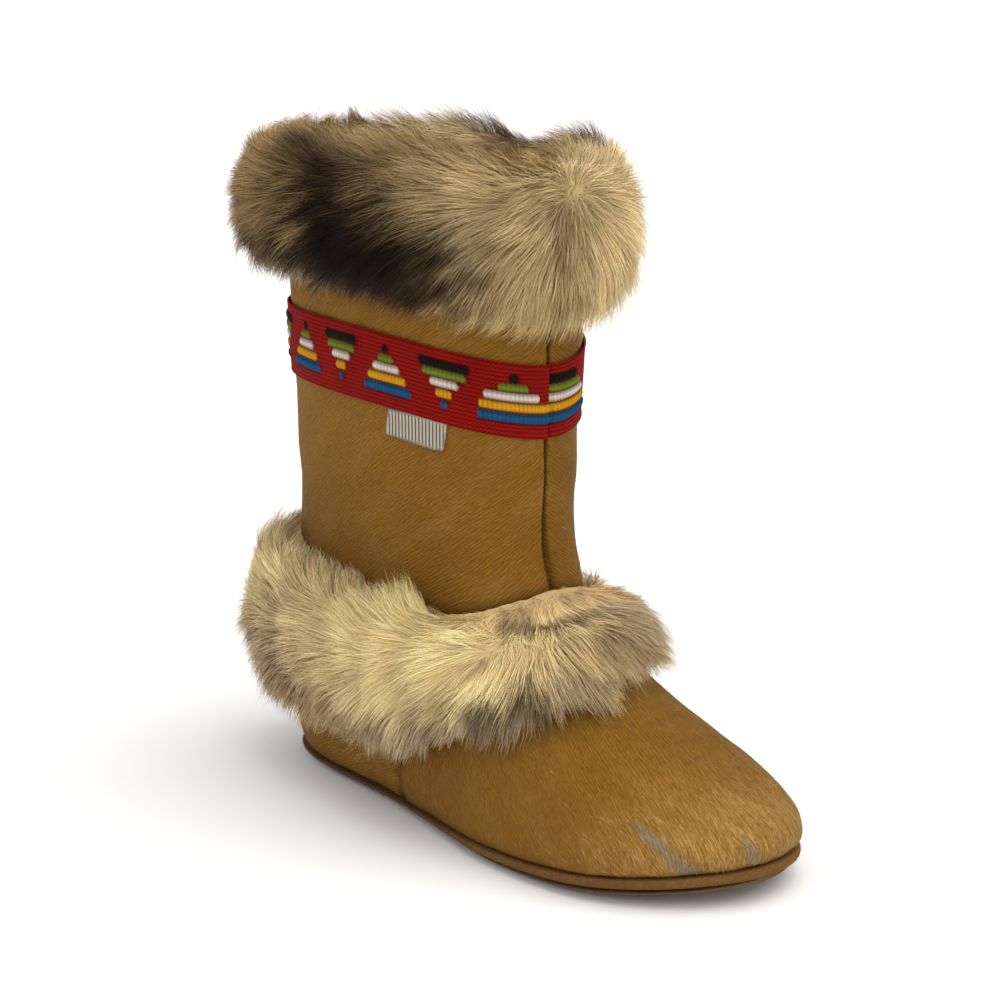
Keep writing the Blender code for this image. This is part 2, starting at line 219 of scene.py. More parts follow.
def copy_of(node, name):
    """A CAD node's copy, its loose triangles merged into one skin of four-sided faces."""
    piece = nodes[node].copy()
    piece.data = nodes[node].data.copy()
    piece.parent = None
    piece.name = piece.data.name = name
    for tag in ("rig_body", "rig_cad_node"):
        del piece[tag]
    bpy.context.scene.collection.objects.link(piece)
    edit(piece, bpy.ops.mesh.remove_doubles, threshold=0.02 * MM)
    sharp, skewed = math.radians(50), math.radians(60)
    edit(piece, bpy.ops.mesh.tris_convert_to_quads, face_threshold=sharp, shape_threshold=skewed)
    piece.data.materials.clear()
    return piece


def modify(piece, kind, **settings):
    """Add a modifier and apply it."""
    only(piece)
    modifier = piece.modifiers.new(kind.lower(), kind)
    for name, value in settings.items():
        setattr(modifier, name, value)
    bpy.ops.object.modifier_apply(modifier=modifier.name)


def rounded(node, name):
    """A CAD node's copy with its facets rounded off."""
    piece = copy_of(node, name)
    modify(piece, "SUBSURF", levels=2, render_levels=2)
    bpy.ops.object.shade_smooth()
    return piece


def placed(name, data):
    """An object for a mesh, a lamp or the camera, put into the scene."""
    holder = bpy.data.objects.new(name, data)
    bpy.context.scene.collection.objects.link(holder)
    return holder


def settle(piece, slot, *replaced):
    """The piece takes its place in the boot."""
    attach(piece, "root")
    if replaced:
        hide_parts(*replaced)


def finish(piece, surface, slot, *replaced):
    """The last steps of a piece that wears one material."""
    only(piece)
    bpy.ops.object.shade_smooth()
    piece.data.materials.append(surface)
    settle(piece, slot, *replaced)


def paint(piece, name, values):
    """A number or a colour for each point of the piece, for its material to read."""
    values = np.asarray(values, np.float32)
    if values.ndim == 1:
        piece.data.attributes.new(name, "FLOAT", "POINT").data.foreach_set("value", values)
    else:
        full = np.concatenate([values, np.ones((len(values), 1), np.float32)], 1)
        piece.data.attributes.new(name, "FLOAT_COLOR", "POINT").data.foreach_set("color", full.ravel())


def set_map(piece, name, flat):
    """A UV map from each point's place on it."""
    corners = fetched(piece.data.loops, "vertex_index", 1, np.int32)
    piece.data.uv_layers.new(name=name).uv.foreach_set("vector", flat[corners].astype(np.float32).ravel())


def outer_faces(piece, middle):
    """Which faces look away from the middle points given for their centres."""
    centres = fetched(piece.data.polygons, "center")
    return dot(fetched(piece.data.polygons, "normal"), centres - middle(centres)) > 0


# ---------------------------------------------------------------- materials


class Tree:
    """A node tree with a short word for each kind of node."""

    def __init__(self, tree):
        self.tree = tree

    def set(self, socket, source):
        if isinstance(source, bpy.types.NodeSocket):
            self.tree.links.new(source, socket)
        else:
            socket.default_value = (*source, 1) if socket.type == "RGBA" else source

    def add(self, kind, links=(), **settings):
        """A node with its settings. Each link is the new node's input and what feeds it."""
        node = self.tree.nodes.new("ShaderNode" + kind)
        for name, value in settings.items():
            setattr(node, name, value)
        for name, source in dict(links).items():
            self.set(node.inputs[name], source)
        return node.outputs

    def math(self, operation, *values):
        return self.add("Math", enumerate(values), operation=operation)[0]

    def plus(self, one, other):
        return self.math("ADD", one, other)

    def times(self, one, other):
        return self.math("MULTIPLY", one, other)

    def between(self, value, start, end, low=0.0, high=1.0):
        """A value's range from start to end, stretched to run from low to high."""
        ends = {"From Min": start, "From Max": end, "To Min": low, "To Max": high}
        return self.add("MapRange", {"Value": value, **ends})[0]

    def mix(self, factor, one, other, mode="MIX"):
        return self.add("Mix", {0: factor, 6: one, 7: other}, data_type="RGBA", blend_type=mode)[2]

    def grey(self, value, colour):
        """A colour made darker or lighter by a value."""
        return self.mix(1.0, colour, self.add("CombineColor", {0: value, 1: value, 2: value})[0], "MULTIPLY")

    def noise(self, where, scale, detail=4.0, roughness=0.5):
        """Noise. With three scales it is drawn out along an axis."""
        if isinstance(scale, tuple):
            where, scale = self.add("Mapping", {"Vector": where, "Scale": scale})[0], 1.0
        grain = {"Scale": scale, "Detail": detail, "Roughness": roughness}
        return self.add("TexNoise", {"Vector": where, **grain})[0]

    def axis(self, where, number):
        return self.add("SeparateXYZ", {0: where})[number]

    def place(self):
        return self.add("TexCoord")["Object"]

    def map(self, name):
        return self.add("UVMap", uv_map=name)[0]

    def read(self, name, output="Fac"):
        return self.add("Attribute", attribute_name=name)[output]

    def effect(self, group, where, size):
        """A node group put to use: a pattern on a map or a place, of its own size."""
        return self.add("Group", {0: where, 1: size}, node_tree=group)


def effect_group(name, where, size, build):
    """A shader node group. build gets its tree and two inputs, and gives back its outputs by name."""
    group = bpy.data.node_groups.new(name, "ShaderNodeTree")
    group.interface.new_socket(where, in_out="INPUT", socket_type="NodeSocketVector")
    group.interface.new_socket(size, in_out="INPUT", socket_type="NodeSocketFloat")
    outputs = build(Tree(group), *group.nodes.new("NodeGroupInput").outputs[:2])
    for label in outputs:
        group.interface.new_socket(label, in_out="OUTPUT", socket_type="NodeSocketFloat")
    out = group.nodes.new("NodeGroupOutput")
    for label, source in outputs.items():
        group.links.new(source, out.inputs[label])
    return group


def lying_hair(tree, where, row):
    """Short hair that lies one way in fine even rows, with broader streaks where it changes shade."""
    bend = tree.noise(where, (70, 190, 1), 2)
    count = tree.plus(tree.math("DIVIDE", tree.axis(where, 1), row), tree.times(bend, 2.2))
    wave = tree.math("SINE", tree.times(count, TURN))
    return {
        "Rows": tree.plus(tree.times(wave, 0.5), 0.5),
        "Streak": tree.noise(where, (300, 2100, 1), 4, 0.75),
        "Lock": tree.noise(where, (40, 640, 1), 3, 0.6),
        "Shade": tree.noise(where, (22, 75, 1), 3, 0.6),
    }


def weave(tree, where, pitch):
    """Threads over and under each other on a flat map in metres."""
    turn = tree.math("DIVIDE", TURN, pitch)
    waves = [tree.math("SINE", tree.times(tree.axis(where, number), turn)) for number in (0, 1)]
    thread = tree.plus(tree.times(tree.times(*waves), 0.5), 0.5)
    return {"Thread": thread, "Fuzz": tree.noise(where, 2600.0, 3.0)}


def handled(tree, where, height):
    """Soft blotches of use, and a noisy darkening that grows towards the bottom of the boot."""
    low = tree.between(tree.axis(where, 2), 0.0, height, 1.0, 0.0)
    return {"Blotch": tree.noise(where, 26.0), "Low darkening": tree.times(low, tree.noise(where, 140.0))}


HAIR_GRAIN = effect_group("lying_hair", "Map", "Row", lying_hair)
WEAVE = effect_group("weave", "Map", "Pitch", weave)
HANDLED = effect_group("handled", "Place", "Low darkening height", handled)

GOLD_DARK = (0.105, 0.045, 0.004)
GOLD = (0.320, 0.150, 0.016)
GOLD_PALE = (0.560, 0.350, 0.120)


class Surface(Tree):
    """A material with its shader."""

    def __init__(self, name, roughness, specular, sheen=0.0):
        self.made = bpy.data.materials.new(name)
        self.made.use_nodes = True
        super().__init__(self.made.node_tree)
        self.shader = self.tree.nodes["Principled BSDF"].inputs
        self.shader["Roughness"].default_value = roughness
        self.shader["Specular IOR Level"].default_value = specular
        self.shader["Sheen Weight"].default_value = sheen
        self.shader["Sheen Roughness"].default_value = 0.5

    def wear(self, colour, height=None, deep=0.0, strength=1.0):
        """The material itself, with its colour and its relief, so many millimetres deep."""
        self.set(self.shader["Base Color"], colour)
        if height is not None:
            relief = self.add("Bump", {"Height": height, "Distance": deep * MM, "Strength": strength})[0]
            self.set(self.shader["Normal"], relief)
        return self.made


def hide_material(name):
    """Golden-brown hide with its hair lying flat. Where it is faded, paler locks show in it. Its deep reading
    darkens it with painted shade.
    """
    hide = Surface(name, 0.75, 0.08)
    grain = hide.effect(HAIR_GRAIN, hide.map("grain"), 1.3 * MM)
    streak = hide.between(grain["Streak"], 0.34, 0.66)
    lit = hide.plus(hide.times(streak, 0.66), hide.times(grain["Rows"], 0.34))
    colour = hide.mix(lit, GOLD_DARK, GOLD)
    colour = hide.mix(hide.times(hide.between(grain["Shade"], 0.45, 0.75), 0.12), colour, GOLD_PALE)
    lock = hide.times(hide.between(grain["Lock"], 0.38, 0.62), 0.4)
    fading = hide.times(hide.plus(lock, hide.times(streak, 0.5)), hide.read("faded"))
    colour = hide.mix(fading, colour, GOLD_PALE)
    blotch = hide.between(hide.effect(HANDLED, hide.place(), 0.03)["Blotch"], 0.35, 0.65)
    colour = hide.mix(hide.times(blotch, 0.18), colour, GOLD_DARK)
    # Painted shade from the deep reading: in the seam grooves, above the sole, under the furs and the cuff.
    colour = hide.mix(hide.read("deep"), colour, (0.25, 0.20, 0.15), "MULTIPLY")
    bare = hide.between(hide.plus(hide.read("scuff"), lock), 0.55, 1.0, 0.0, 0.8)
    colour = hide.mix(bare, colour, hide.mix(streak, (0.110, 0.084, 0.050), (0.265, 0.215, 0.145)))
    return hide.wear(colour, hide.plus(grain["Streak"], hide.times(grain["Rows"], 0.4)), 0.4, 0.8)


def hair_material(name, roughness=0.7, specular=0.05):
    """Hair that takes its tint from the piece."""
    hair = Surface(name, roughness, specular)
    return hair.wear(hair.read("hair_tint", "Color"))


def leather_material():
    """Brown leather wrapped round the edge of the sole, with painted shade making it darker from the waist
    back to the heel.
    """
    leather = Surface("rand_leather", 0.8, 0.15)
    place = leather.place()
    used = leather.effect(HANDLED, place, 0.012)
    pores = leather.add("TexVoronoi", {"Vector": place, "Scale": 1400.0}, feature="F1")["Distance"]
    nap = leather.noise(place, 900.0)
    colour = leather.mix(nap, (0.085, 0.037, 0.009), (0.235, 0.115, 0.028))
    # Painted shade: darker from the waist back to the heel.
    waist_shade = leather.between(leather.axis(place, 0), 0.15, 0.06, 0.0, 0.6)
    colour = leather.mix(waist_shade, colour, (0.045, 0.022, 0.008))
    blotch = leather.times(leather.between(used["Blotch"], 0.4, 0.7), 0.5)
    colour = leather.mix(blotch, colour, (0.10, 0.040, 0.014))
    # Darker towards the bottom, broken up by noise.
    colour = leather.mix(leather.times(used["Low darkening"], 0.8), colour, (0.06, 0.035, 0.02))
    return leather.wear(colour, leather.plus(leather.times(pores, 0.6), leather.times(nap, 0.6)), 0.25)


def crepe_material():
    """Brown crepe rubber with its crinkled skin."""
    crepe = Surface("crepe_rubber", 0.85, 0.12)
    place = crepe.place()
    crinkle = crepe.noise(place, (260, 90, 260), 5, 0.65)
    colour = crepe.mix(crinkle, (0.095, 0.052, 0.020), (0.225, 0.130, 0.055))
    # Darker towards the bottom, broken up by noise.
    low_darkening = crepe.times(crepe.effect(HANDLED, place, 0.004)["Low darkening"], 0.9)
    return crepe.wear(crepe.mix(low_darkening, colour, (0.07, 0.05, 0.03)), crinkle, 0.6)


def felt_material(name, dark, pale):
    """Wool felt, pressed darker in places."""
    felt = Surface(name, 0.95, 0.1, 0.2)
    place = felt.place()
    fibres = felt.noise(place, 700.0, 6.0, 0.75)
    pressed = felt.times(felt.effect(HANDLED, place, 0.03)["Blotch"], 0.4)
    return felt.wear(felt.mix(pressed, felt.mix(fibres, dark, pale), dark), fibres, 0.5)


def tape_material():
    """Woven tape whose threads take their colour, painted shade included, from the piece."""
    tape = Surface("woven_wool", 0.85, 0.06)
    cloth = tape.map("cloth")
    woven = tape.effect(WEAVE, cloth, 0.85 * MM)
    # The ground between the bars is ribbed: a rib for each pick, waved by its stitches, with painted shade in
    # the grooves between the ribs.
    wave = tape.math("SINE", tape.times(tape.axis(cloth, 0), TURN / (STITCH * MM)))
    pick = tape.plus(tape.times(tape.axis(cloth, 1), TURN / (PICK * MM)), wave)
    rib = tape.math("MAXIMUM", tape.between(tape.math("COSINE", pick), -1.0, 0.2), tape.read("bar"))
    shade = tape.plus(tape.plus(tape.times(woven["Thread"], 0.2), 0.30), tape.times(woven["Fuzz"], 0.6))
    shade = tape.times(shade, tape.plus(tape.times(rib, 0.6), 0.5))
    height = tape.plus(tape.plus(woven["Thread"], tape.times(woven["Fuzz"], 0.7)), rib)
    return tape.wear(tape.grey(shade, tape.read("thread_tint_and_shade", "Color")), height, 0.25)


def label_material():
    """Grey cloth with dark ribs between pale woven edges."""
    label = Surface("label_weave", 0.8, 0.1)
    cloth = label.map("cloth")
    woven = label.effect(WEAVE, cloth, 0.5 * MM)
    wave = label.math("SINE", label.times(label.axis(cloth, 0), TURN / (1.45 * MM)))
    dark_rib = label.between(wave, -0.1, 0.7)
    colour = label.mix(dark_rib, (0.66, 0.59, 0.49), (0.125, 0.105, 0.082))
    colour = label.mix(label.read("edging"), colour, (0.60, 0.53, 0.44))
    colour = label.mix(label.read("outline"), colour, (0.10, 0.08, 0.06))
    thread = label.between(woven["Thread"], 0.0, 1.0, 0.70, 1.08)
    fuzz = label.between(woven["Fuzz"], 0.0, 1.0, 0.75, 1.2)
    height = label.math("SUBTRACT", woven["Thread"], label.times(dark_rib, 0.8))
    return label.wear(label.grey(label.times(thread, fuzz), colour), height, 0.25)


def thread_material(name, dark, pale):
    thread = Surface(name, 0.7, 0.2)
    twist = thread.noise(thread.place(), (900, 900, 2200), 3, 0.6)
    return thread.wear(thread.mix(twist, dark, pale), twist, 0.15)


def floor_material():
    floor = Surface("pale_floor", 0.9, 0.1)
    grain = floor.noise(floor.place(), 3.0, 2.0)
    return floor.wear(floor.mix(grain, (0.90, 0.90, 0.895), (0.93, 0.93, 0.925)))


# ---------------------------------------------------------------- hide


def leg_spine(points):
    """The middle of the leg at each point's height."""
    return np.stack([np.full(len(points), LEG_MIDDLE[0]), np.zeros(len(points)), points[:, 2]], 1)


def foot_spine(points):
    """A line through the boot's inside, along the foot and up the leg."""
    along = np.clip(points[:, 0], -5 * MM, 195 * MM)
    high = np.clip(points[:, 2] - 60 * MM, 0, None) + 22 * MM
    return np.stack([along, np.zeros(len(points)), np.minimum(high, points[:, 2])], 1)


INSTEP = table("ahead height", """
    90 100
    114 90
    130 76
    147 66
    165 56
    184 48
    201 39
    216 31
    226 25
""")


def vamp_sheet(points, normals):
    """The vamp laid flat: how far ahead of the heel's middle and how far to the side each point lies, with
    the directions on it in which these grow."""
    ridge = np.interp(points[:, 0] / MM, INSTEP["ahead"], INSTEP["height"])
    drop = np.clip(ridge * MM - points[:, 2], 0, None)
    level = normals[:, :2] / np.maximum(np.linalg.norm(normals[:, :2], axis=1, keepdims=True), 1e-9)
    front = np.clip(level[:, 0], 0, 1) ** 2
    side = np.where(points[:, 1] > 4 * MM, 1.0, -1.0)
    ahead = points[:, 0] + drop * front
    aside = np.abs(points[:, 1] - 4 * MM) + drop * (1 - front)
    steep = 1 - np.clip(normals[:, 2], 0, 1) ** 2
    forth = np.stack([1 - 0.9 * steep * front, 0 * side, -steep * front], 1)
    out = np.stack([0 * side, side * (1 - 0.9 * steep), -steep * (1 - front)], 1)
    return ahead, aside, forth, out


def hide_flow(points, normals):
    """Which way the hide's hair lies at each point."""
    turns = turns_of(points)
    forward = np.where(turns < math.pi, 1.0, -1.0)[:, None] * onward_of(turns)
    # On the shaft it slants back and down on both sides of the front seam, and more gently on the quarters
    # behind the side seams. On the vamp it fans out from the heel to the toe and down the sides.
    shaft, quarter = 0.83 * forward - [0, 0, 0.56], 0.9 * forward - [0, 0, 0.35]
    ahead, aside, forth, out = vamp_sheet(points, normals)
    fan = np.arctan2(aside, ahead)[:, None]
    vamp = np.cos(fan) * unit(forth) + np.sin(fan) * unit(out)
    high = ramp(points[:, 2], 82 * MM, 92 * MM)[:, None]
    front = ramp(points[:, 0], 66 * MM, 72 * MM)[:, None]
    flow = high * shaft + (1 - high) * (front * vamp + (1 - front) * quarter)
    return unit(flow - normals * dot(flow, normals)[:, None])


def faded(points, normals):
    """How pale the vamp's hair has gone, towards the toe."""
    far = np.hypot(*vamp_sheet(points, normals)[:2])
    return np.clip(0.8 * ramp(far, 182 * MM, 232 * MM) * (1 - 0.3 * ripple(points / MM, 9.0, 5)), 0, 1)


# Where the hair is worn down to the skin: each place runs from one point to another, with its half width at
# both.
SCUFFS = table("x0 y0 z0 x1 y1 z1 wide0 wide1 strength", """
    198.5 -32.0 30.0 205.0 -30.0 26.0 1.6 2.3 0.9
    203.0 -31.0 27.5 216.5 -21.5 13.5 2.2 3.4 1.0
    190.0 -38.0 36.0 194.0 -37.0 32.0 1.2 1.6 0.45
    222.4 -3.6 27.0 225.6 -2.6 22.5 0.8 1.7 0.8
    225.4 -3.0 22.5 227.6 -0.6 17.5 1.8 3.4 1.0
    219.0 14.0 28.5 226.5 12.0 20.5 1.6 2.6 0.50
    216.0 21.0 29.0 226.0 19.0 18.5 1.0 1.6 0.50
    211.0 32.0 27.0 215.0 32.0 20.0 1.4 1.8 0.55
""")
FOOT_CREASES = table("x0 y0 z0 x1 y1 z1 deep wide", """
    # across the vamp where the toes bend
    150 -50 22 168 -22 52 0.7 3.4
    158 -48 18 176 -26 44 0.5 2.6
    168 -12 58 172 26 52 0.5 4.0
    # from the waist up to the instep
    92 -46 12 112 -42 46 0.8 4.0
    96 44 12 116 38 48 0.8 4.0
    # round the heel
    -34 -20 14 -38 -6 34 0.6 3.5
    -33 18 16 -38 8 38 0.6 3.5
    20 -40 12 -6 -36 34 0.6 4.0
    22 38 12 -4 34 34 0.6 4.0
""")
SHAFT_CREASES = table("x0 y0 z0 x1 y1 z1 deep wide", """
    92 -34 96 62 -42 120 1.0 6.0
    60 -42 88 22 -42 104 0.9 7.0
    100 -24 130 74 -38 150 0.5 6.0
    10 -41 132 -18 -30 120 0.7 6.0
    92 34 96 62 42 120 1.0 6.0
    10 41 132 -18 30 120 0.7 6.0
    108 -8 104 102 -24 118 0.6 5.0
""")


def beside_lines(points, lines):
    """For each line of a table: how far along it the points lie, from 0 to 1, how many millimetres from it,
    and the rest of its row."""
    for row in zip(*lines.values()):
        start, along = np.array(row[:3]), np.array(row[3:6]) - row[:3]
        share = np.clip((points / MM - start) @ along / (along @ along), 0, 1)
        yield share, np.linalg.norm(points / MM - start - share[:, None] * along, axis=1), row[6:]


def scuffed(points):
    """How far the hair is worn off."""
    worn = np.zeros(len(points))
    for share, apart, (wide, last_wide, strength) in beside_lines(points, SCUFFS):
        wide = wide + (last_wide - wide) * share
        worn = np.maximum(worn, strength * (1 - ramp(apart / wide, 0.5, 1.9)))
    return worn


def gathers(points):
    """Small puckers where the hide is drawn in under the toe."""
    around = np.arctan2(points[:, 1] - 6 * MM, points[:, 0] - 170 * MM)
    low = bell((points[:, 2] / MM - 15.0), 5.0) * ramp(points[:, 0], 186 * MM, 205 * MM)
    return 0.38 * MM * low * (0.5 + 0.5 * np.sin(around * 21 + 1.6 * np.sin(around * 5)))


def side_seam(points, x):
    """How near a point is to a side seam, which runs up from the sole: 1 on it."""
    low = 1 - ramp(points[:, 2], 60 * MM, 75 * MM)
    past = points[:, 0] / MM - x - 0.12 * (points[:, 2] / MM - 24)
    return (bell(past - 1.1, 0.6) + 0.75 * bell(past + 1.3, 0.6)) * low


def leg_seams(points):
    """The front and back seams of the leg: how near a point is to them, and how far it sinks in or rises."""
    turns = turns_of(points)
    front = wrapped(turns) * LEG_HALF[1] / MM
    back = wrapped(turns - math.pi) * LEG_HALF[1] / MM
    gape = 0.55 + 1.0 * (1 - ramp(points[:, 2], 94 * MM, 128 * MM))
    near = np.maximum(bell(front, gape), bell(back, 0.6))
    lip = 0.45 * MM * (bell(front - 2.6, 1.3) + bell(np.abs(back) - 2.0, 1.0))
    return near, 1.3 * MM * near - lip


def finer_seams(piece):
    """Smaller faces beside the leg's two seams, to carry their grooves."""
    turns = turns_of(points_of(piece))
    near = np.minimum(np.abs(wrapped(turns)), np.abs(wrapped(turns - math.pi))) * LEG_HALF[1] < 5 * MM
    edit(piece, bpy.ops.mesh.select_mode, type="FACE")
    edit(piece, bpy.ops.mesh.select_all, action="DESELECT")
    for face in piece.data.polygons:
        face.select = all(near[corner] for corner in face.vertices)
    edit(piece, bpy.ops.mesh.subdivide, every=False, number_cuts=3)


def dress_hide(piece, middle, creases, surface, inside):
    """Creases, seams, hair direction, wear and painted shade for one piece of hide, and its lining."""
    outer = outer_faces(piece, middle)
    points, normals = points_of(piece), normals_of(piece)
    outward = dot(normals, points - middle(points)) > 0
    sunk = 0.35 * MM * ripple(points / MM, 34.0, 8)
    for share, apart, (deep, wide) in beside_lines(points, creases):
        sunk += deep * MM * np.sin(math.pi * np.clip(share, 0.03, 0.97)) ** 0.5 * bell(apart, wide)
    on_foot = middle is foot_spine
    sunk += gathers(points) + 0.9 * MM * side_seam(points, 69.0) if on_foot else leg_seams(points)[1]
    move_points(piece, points - normals * (sunk * outward)[:, None])
    normals = normals_of(piece)
    # The deep reading is painted shade, not a colour of the hide.
    paint(piece, "deep", painted_hide_shade(points, piece))
    paint(piece, "scuff", scuffed(points) * on_foot)
    paint(piece, "faded", faded(points, normals) * on_foot)
    set_map(piece, "grain", grain_map(points, normals, on_foot))
    piece.data.materials.append(surface)
    piece.data.materials.append(inside)
    piece.data.polygons.foreach_set("material_index", np.where(outer, 0, 1).astype(np.int32))
    piece.data.update()


def painted_hide_shade(points, piece):
    """Painted shade on the hide: in its seam grooves, just above the sole, under the furs, low on the shaft
    beneath the tape, and on the shaft's inner side.
    """
    turns = turns_of(points)
    height = points[:, 2] / MM
    if not piece.name.startswith("shaft"):
        return np.clip(0.75 * side_seam(points, 69.0) + 0.25 * (1 - ramp(height, 8.0, 12.5)), 0, 1)
    above, aside = height - low_edge(turns), wrapped(turns)
    shade = 0.45 * bell(above, 26.0) * ramp(wrapped(turns - 0.4), 0.0, 0.9)
    shade += 0.24 * ramp(height, 196.0, 206.0) + 0.20 * ramp(-aside, 0.02, 0.1) * ramp(2.4 + aside, 0, 1)
    return np.clip(0.85 * leg_seams(points)[0] + 0.6 * bell(above, 3.0) + shade, 0, 1)


def low_edge(turns):
    """The height of the shaft's lower edge, in millimetres."""
    return np.interp(turns, hem_turns, hem / MM, period=TURN)


def grain_map(points, normals, on_foot):
    """A flat map in metres whose first axis follows the hair."""
    if not on_foot:
        steps = np.linspace(0, TURN, 721)
        gone = gone_round(steps)
        far = np.interp(turns_of(points), steps, gone)
        around = np.minimum(far, gone[-1] - far)
        return np.stack([0.83 * around - 0.56 * points[:, 2], 0.56 * around + 0.83 * points[:, 2]], 1)
    ahead, aside, _, _ = vamp_sheet(points, normals)
    flat = np.stack([np.hypot(ahead, aside), np.arctan2(aside, ahead) * 150 * MM], 1)
    along, high = points[:, 0], points[:, 2]
    quarter = np.stack([0.9 * along + 0.4 * high, -0.4 * along + 0.9 * high], 1)
    return np.where((along < 69 * MM)[:, None], quarter, flat)


# ---------------------------------------------------------------- hairs


def sample(piece, count, chance, keep=None):
    """Points spread evenly over a piece or its kept faces, with their normals."""
    mesh = piece.data
    mesh.calc_loop_triangles()
    triangles = fetched(mesh.loop_triangles, "vertices", 3, np.int32)
    if keep is not None:
        triangles = triangles[keep[fetched(mesh.loop_triangles, "polygon_index", 1, np.int32)]]
    corner = points_of(piece)[triangles]
    area = np.linalg.norm(np.cross(corner[:, 1] - corner[:, 0], corner[:, 2] - corner[:, 0]), axis=1)
    chosen = np.searchsorted(np.cumsum(area) / area.sum(), (np.arange(count) + chance.random(count)) / count)
    chosen = chosen.clip(0, len(triangles) - 1)
    one, two = np.sqrt(chance.random(count)), chance.random(count)
    shares = np.stack([1 - one, one * (1 - two), one * two], 1)[..., None]
    return (corner[chosen] * shares).sum(1), unit((normals_of(piece)[triangles][chosen] * shares).sum(1))


def ribbons(name, rows, widths, facing, tints, surface, shading, slot):
    """One mesh of flat hairs that taper to a point. rows holds each hair's points from root to tip, facing
    the way its flat side looks, and shading the direction in which it takes the light."""
    count, steps = rows.shape[:2]
    per = 2 * steps - 1
    half = unit(np.cross(unit(rows[:, -1] - rows[:, 0]), facing))[:, None] * widths[:, :-1, None] / 2
    pairs = np.stack([rows[:, :-1] - half, rows[:, :-1] + half], 2).reshape(count, -1, 3)
    points = np.concatenate([pairs, rows[:, -1:]], 1)
    corners = [2 * k + corner for k in range(steps - 2) for corner in (0, 1, 3, 2)]
    corners += [per - 3, per - 2, per - 1]
    starts = 4 * np.arange(steps - 1)
    base = np.arange(count)[:, None]
    mesh = bpy.data.meshes.new(name)
    mesh.vertices.add(count * per)
    mesh.vertices.foreach_set("co", points.astype(np.float32).ravel())
    mesh.loops.add(count * len(corners))
    mesh.loops.foreach_set("vertex_index", (base * per + corners).astype(np.int32).ravel())
    mesh.polygons.add(count * len(starts))
    mesh.polygons.foreach_set("loop_start", (base * len(corners) + starts).astype(np.int32).ravel())
    mesh.polygons.foreach_set("use_smooth", np.ones(count * len(starts), bool))
    mesh.update(calc_edges=True)
    piece = placed(name, mesh)
    tints = np.concatenate([np.repeat(tints[:, :-1], 2, axis=1), tints[:, -1:]], 1).reshape(-1, 3)
    paint(piece, "hair_tint", tints.clip(0, 1))
    # The OFBake map places each hair point by its lightness and warmth, a little apart across a hair.
    light = np.sqrt(tints.mean(1).clip(0, 1))
    warm = (tints[:, 0] - tints[:, 2]) / (tints.sum(1) + 0.02)
    nudge = np.tile(np.where(np.arange(per) % 2, 0.004, -0.004), count)
    flat = np.stack([0.02 + 0.94 * light, 0.5 + 0.9 * (warm - 0.25)], 1).clip(0.01, 0.99)
    set_map(piece, "OFBake", flat + nudge[:, None] * [0, 1])
    mesh.normals_split_custom_set_from_vertices(np.repeat(shading, per, axis=0))
    mesh.materials.append(surface)
    settle(piece, slot)


def lift_clear(tree, rows, gap):
    """Bends hairs that run into a surface out of it, where they grow outside it."""
    outside = None
    for k in range(rows.shape[1]):
        spots, ways = nearest_on(tree, rows[:, k])
        apart = rows[:, k] - spots
        depth = dot(apart, ways)
        # Past the surface's rim there is nothing to run into.
        beside = np.abs(depth) > 0.7 * np.linalg.norm(apart, axis=1)
        if k == 0:
            outside = (depth > -1.6 * MM) | ~beside
            continue
        short = np.clip(gap - depth, 0, None) * (np.abs(depth) < 12 * MM) * (outside & beside)
        rows[:, k] += ways * short[:, None]
    return rows


def lean_together(rows, members, pull, chance):
    """Draws the tips of each so many neighbouring hairs towards one of them, and tells each hair's clump."""
    count = max(len(rows) // members, 1)
    leaders = chance.choice(len(rows), count, replace=False)
    tree = KDTree(count)
    for i, leader in enumerate(leaders):
        tree.insert(rows[leader, 0], i)
    tree.balance()
    owner = np.array([tree.find(root)[1] for root in rows[:, 0]])
    guide = rows[leaders][owner]
    share = np.linspace(0, 1, rows.shape[1])[None, :, None] ** 1.6
    target = guide + (rows[:, :1] - guide[:, :1]) * (1 - share)
    strength = (pull * chance.uniform(0.6, 1.2, len(rows)))[:, None, None]
    return rows + (target - rows) * share * strength, owner


def on_skin(turns, places, turn, place):
    """How far points lie from a spot, round the leg and over the roll, in millimetres."""
    return wrapped(turns - turn) * 58.0, wrapped(places - place) * 21.0


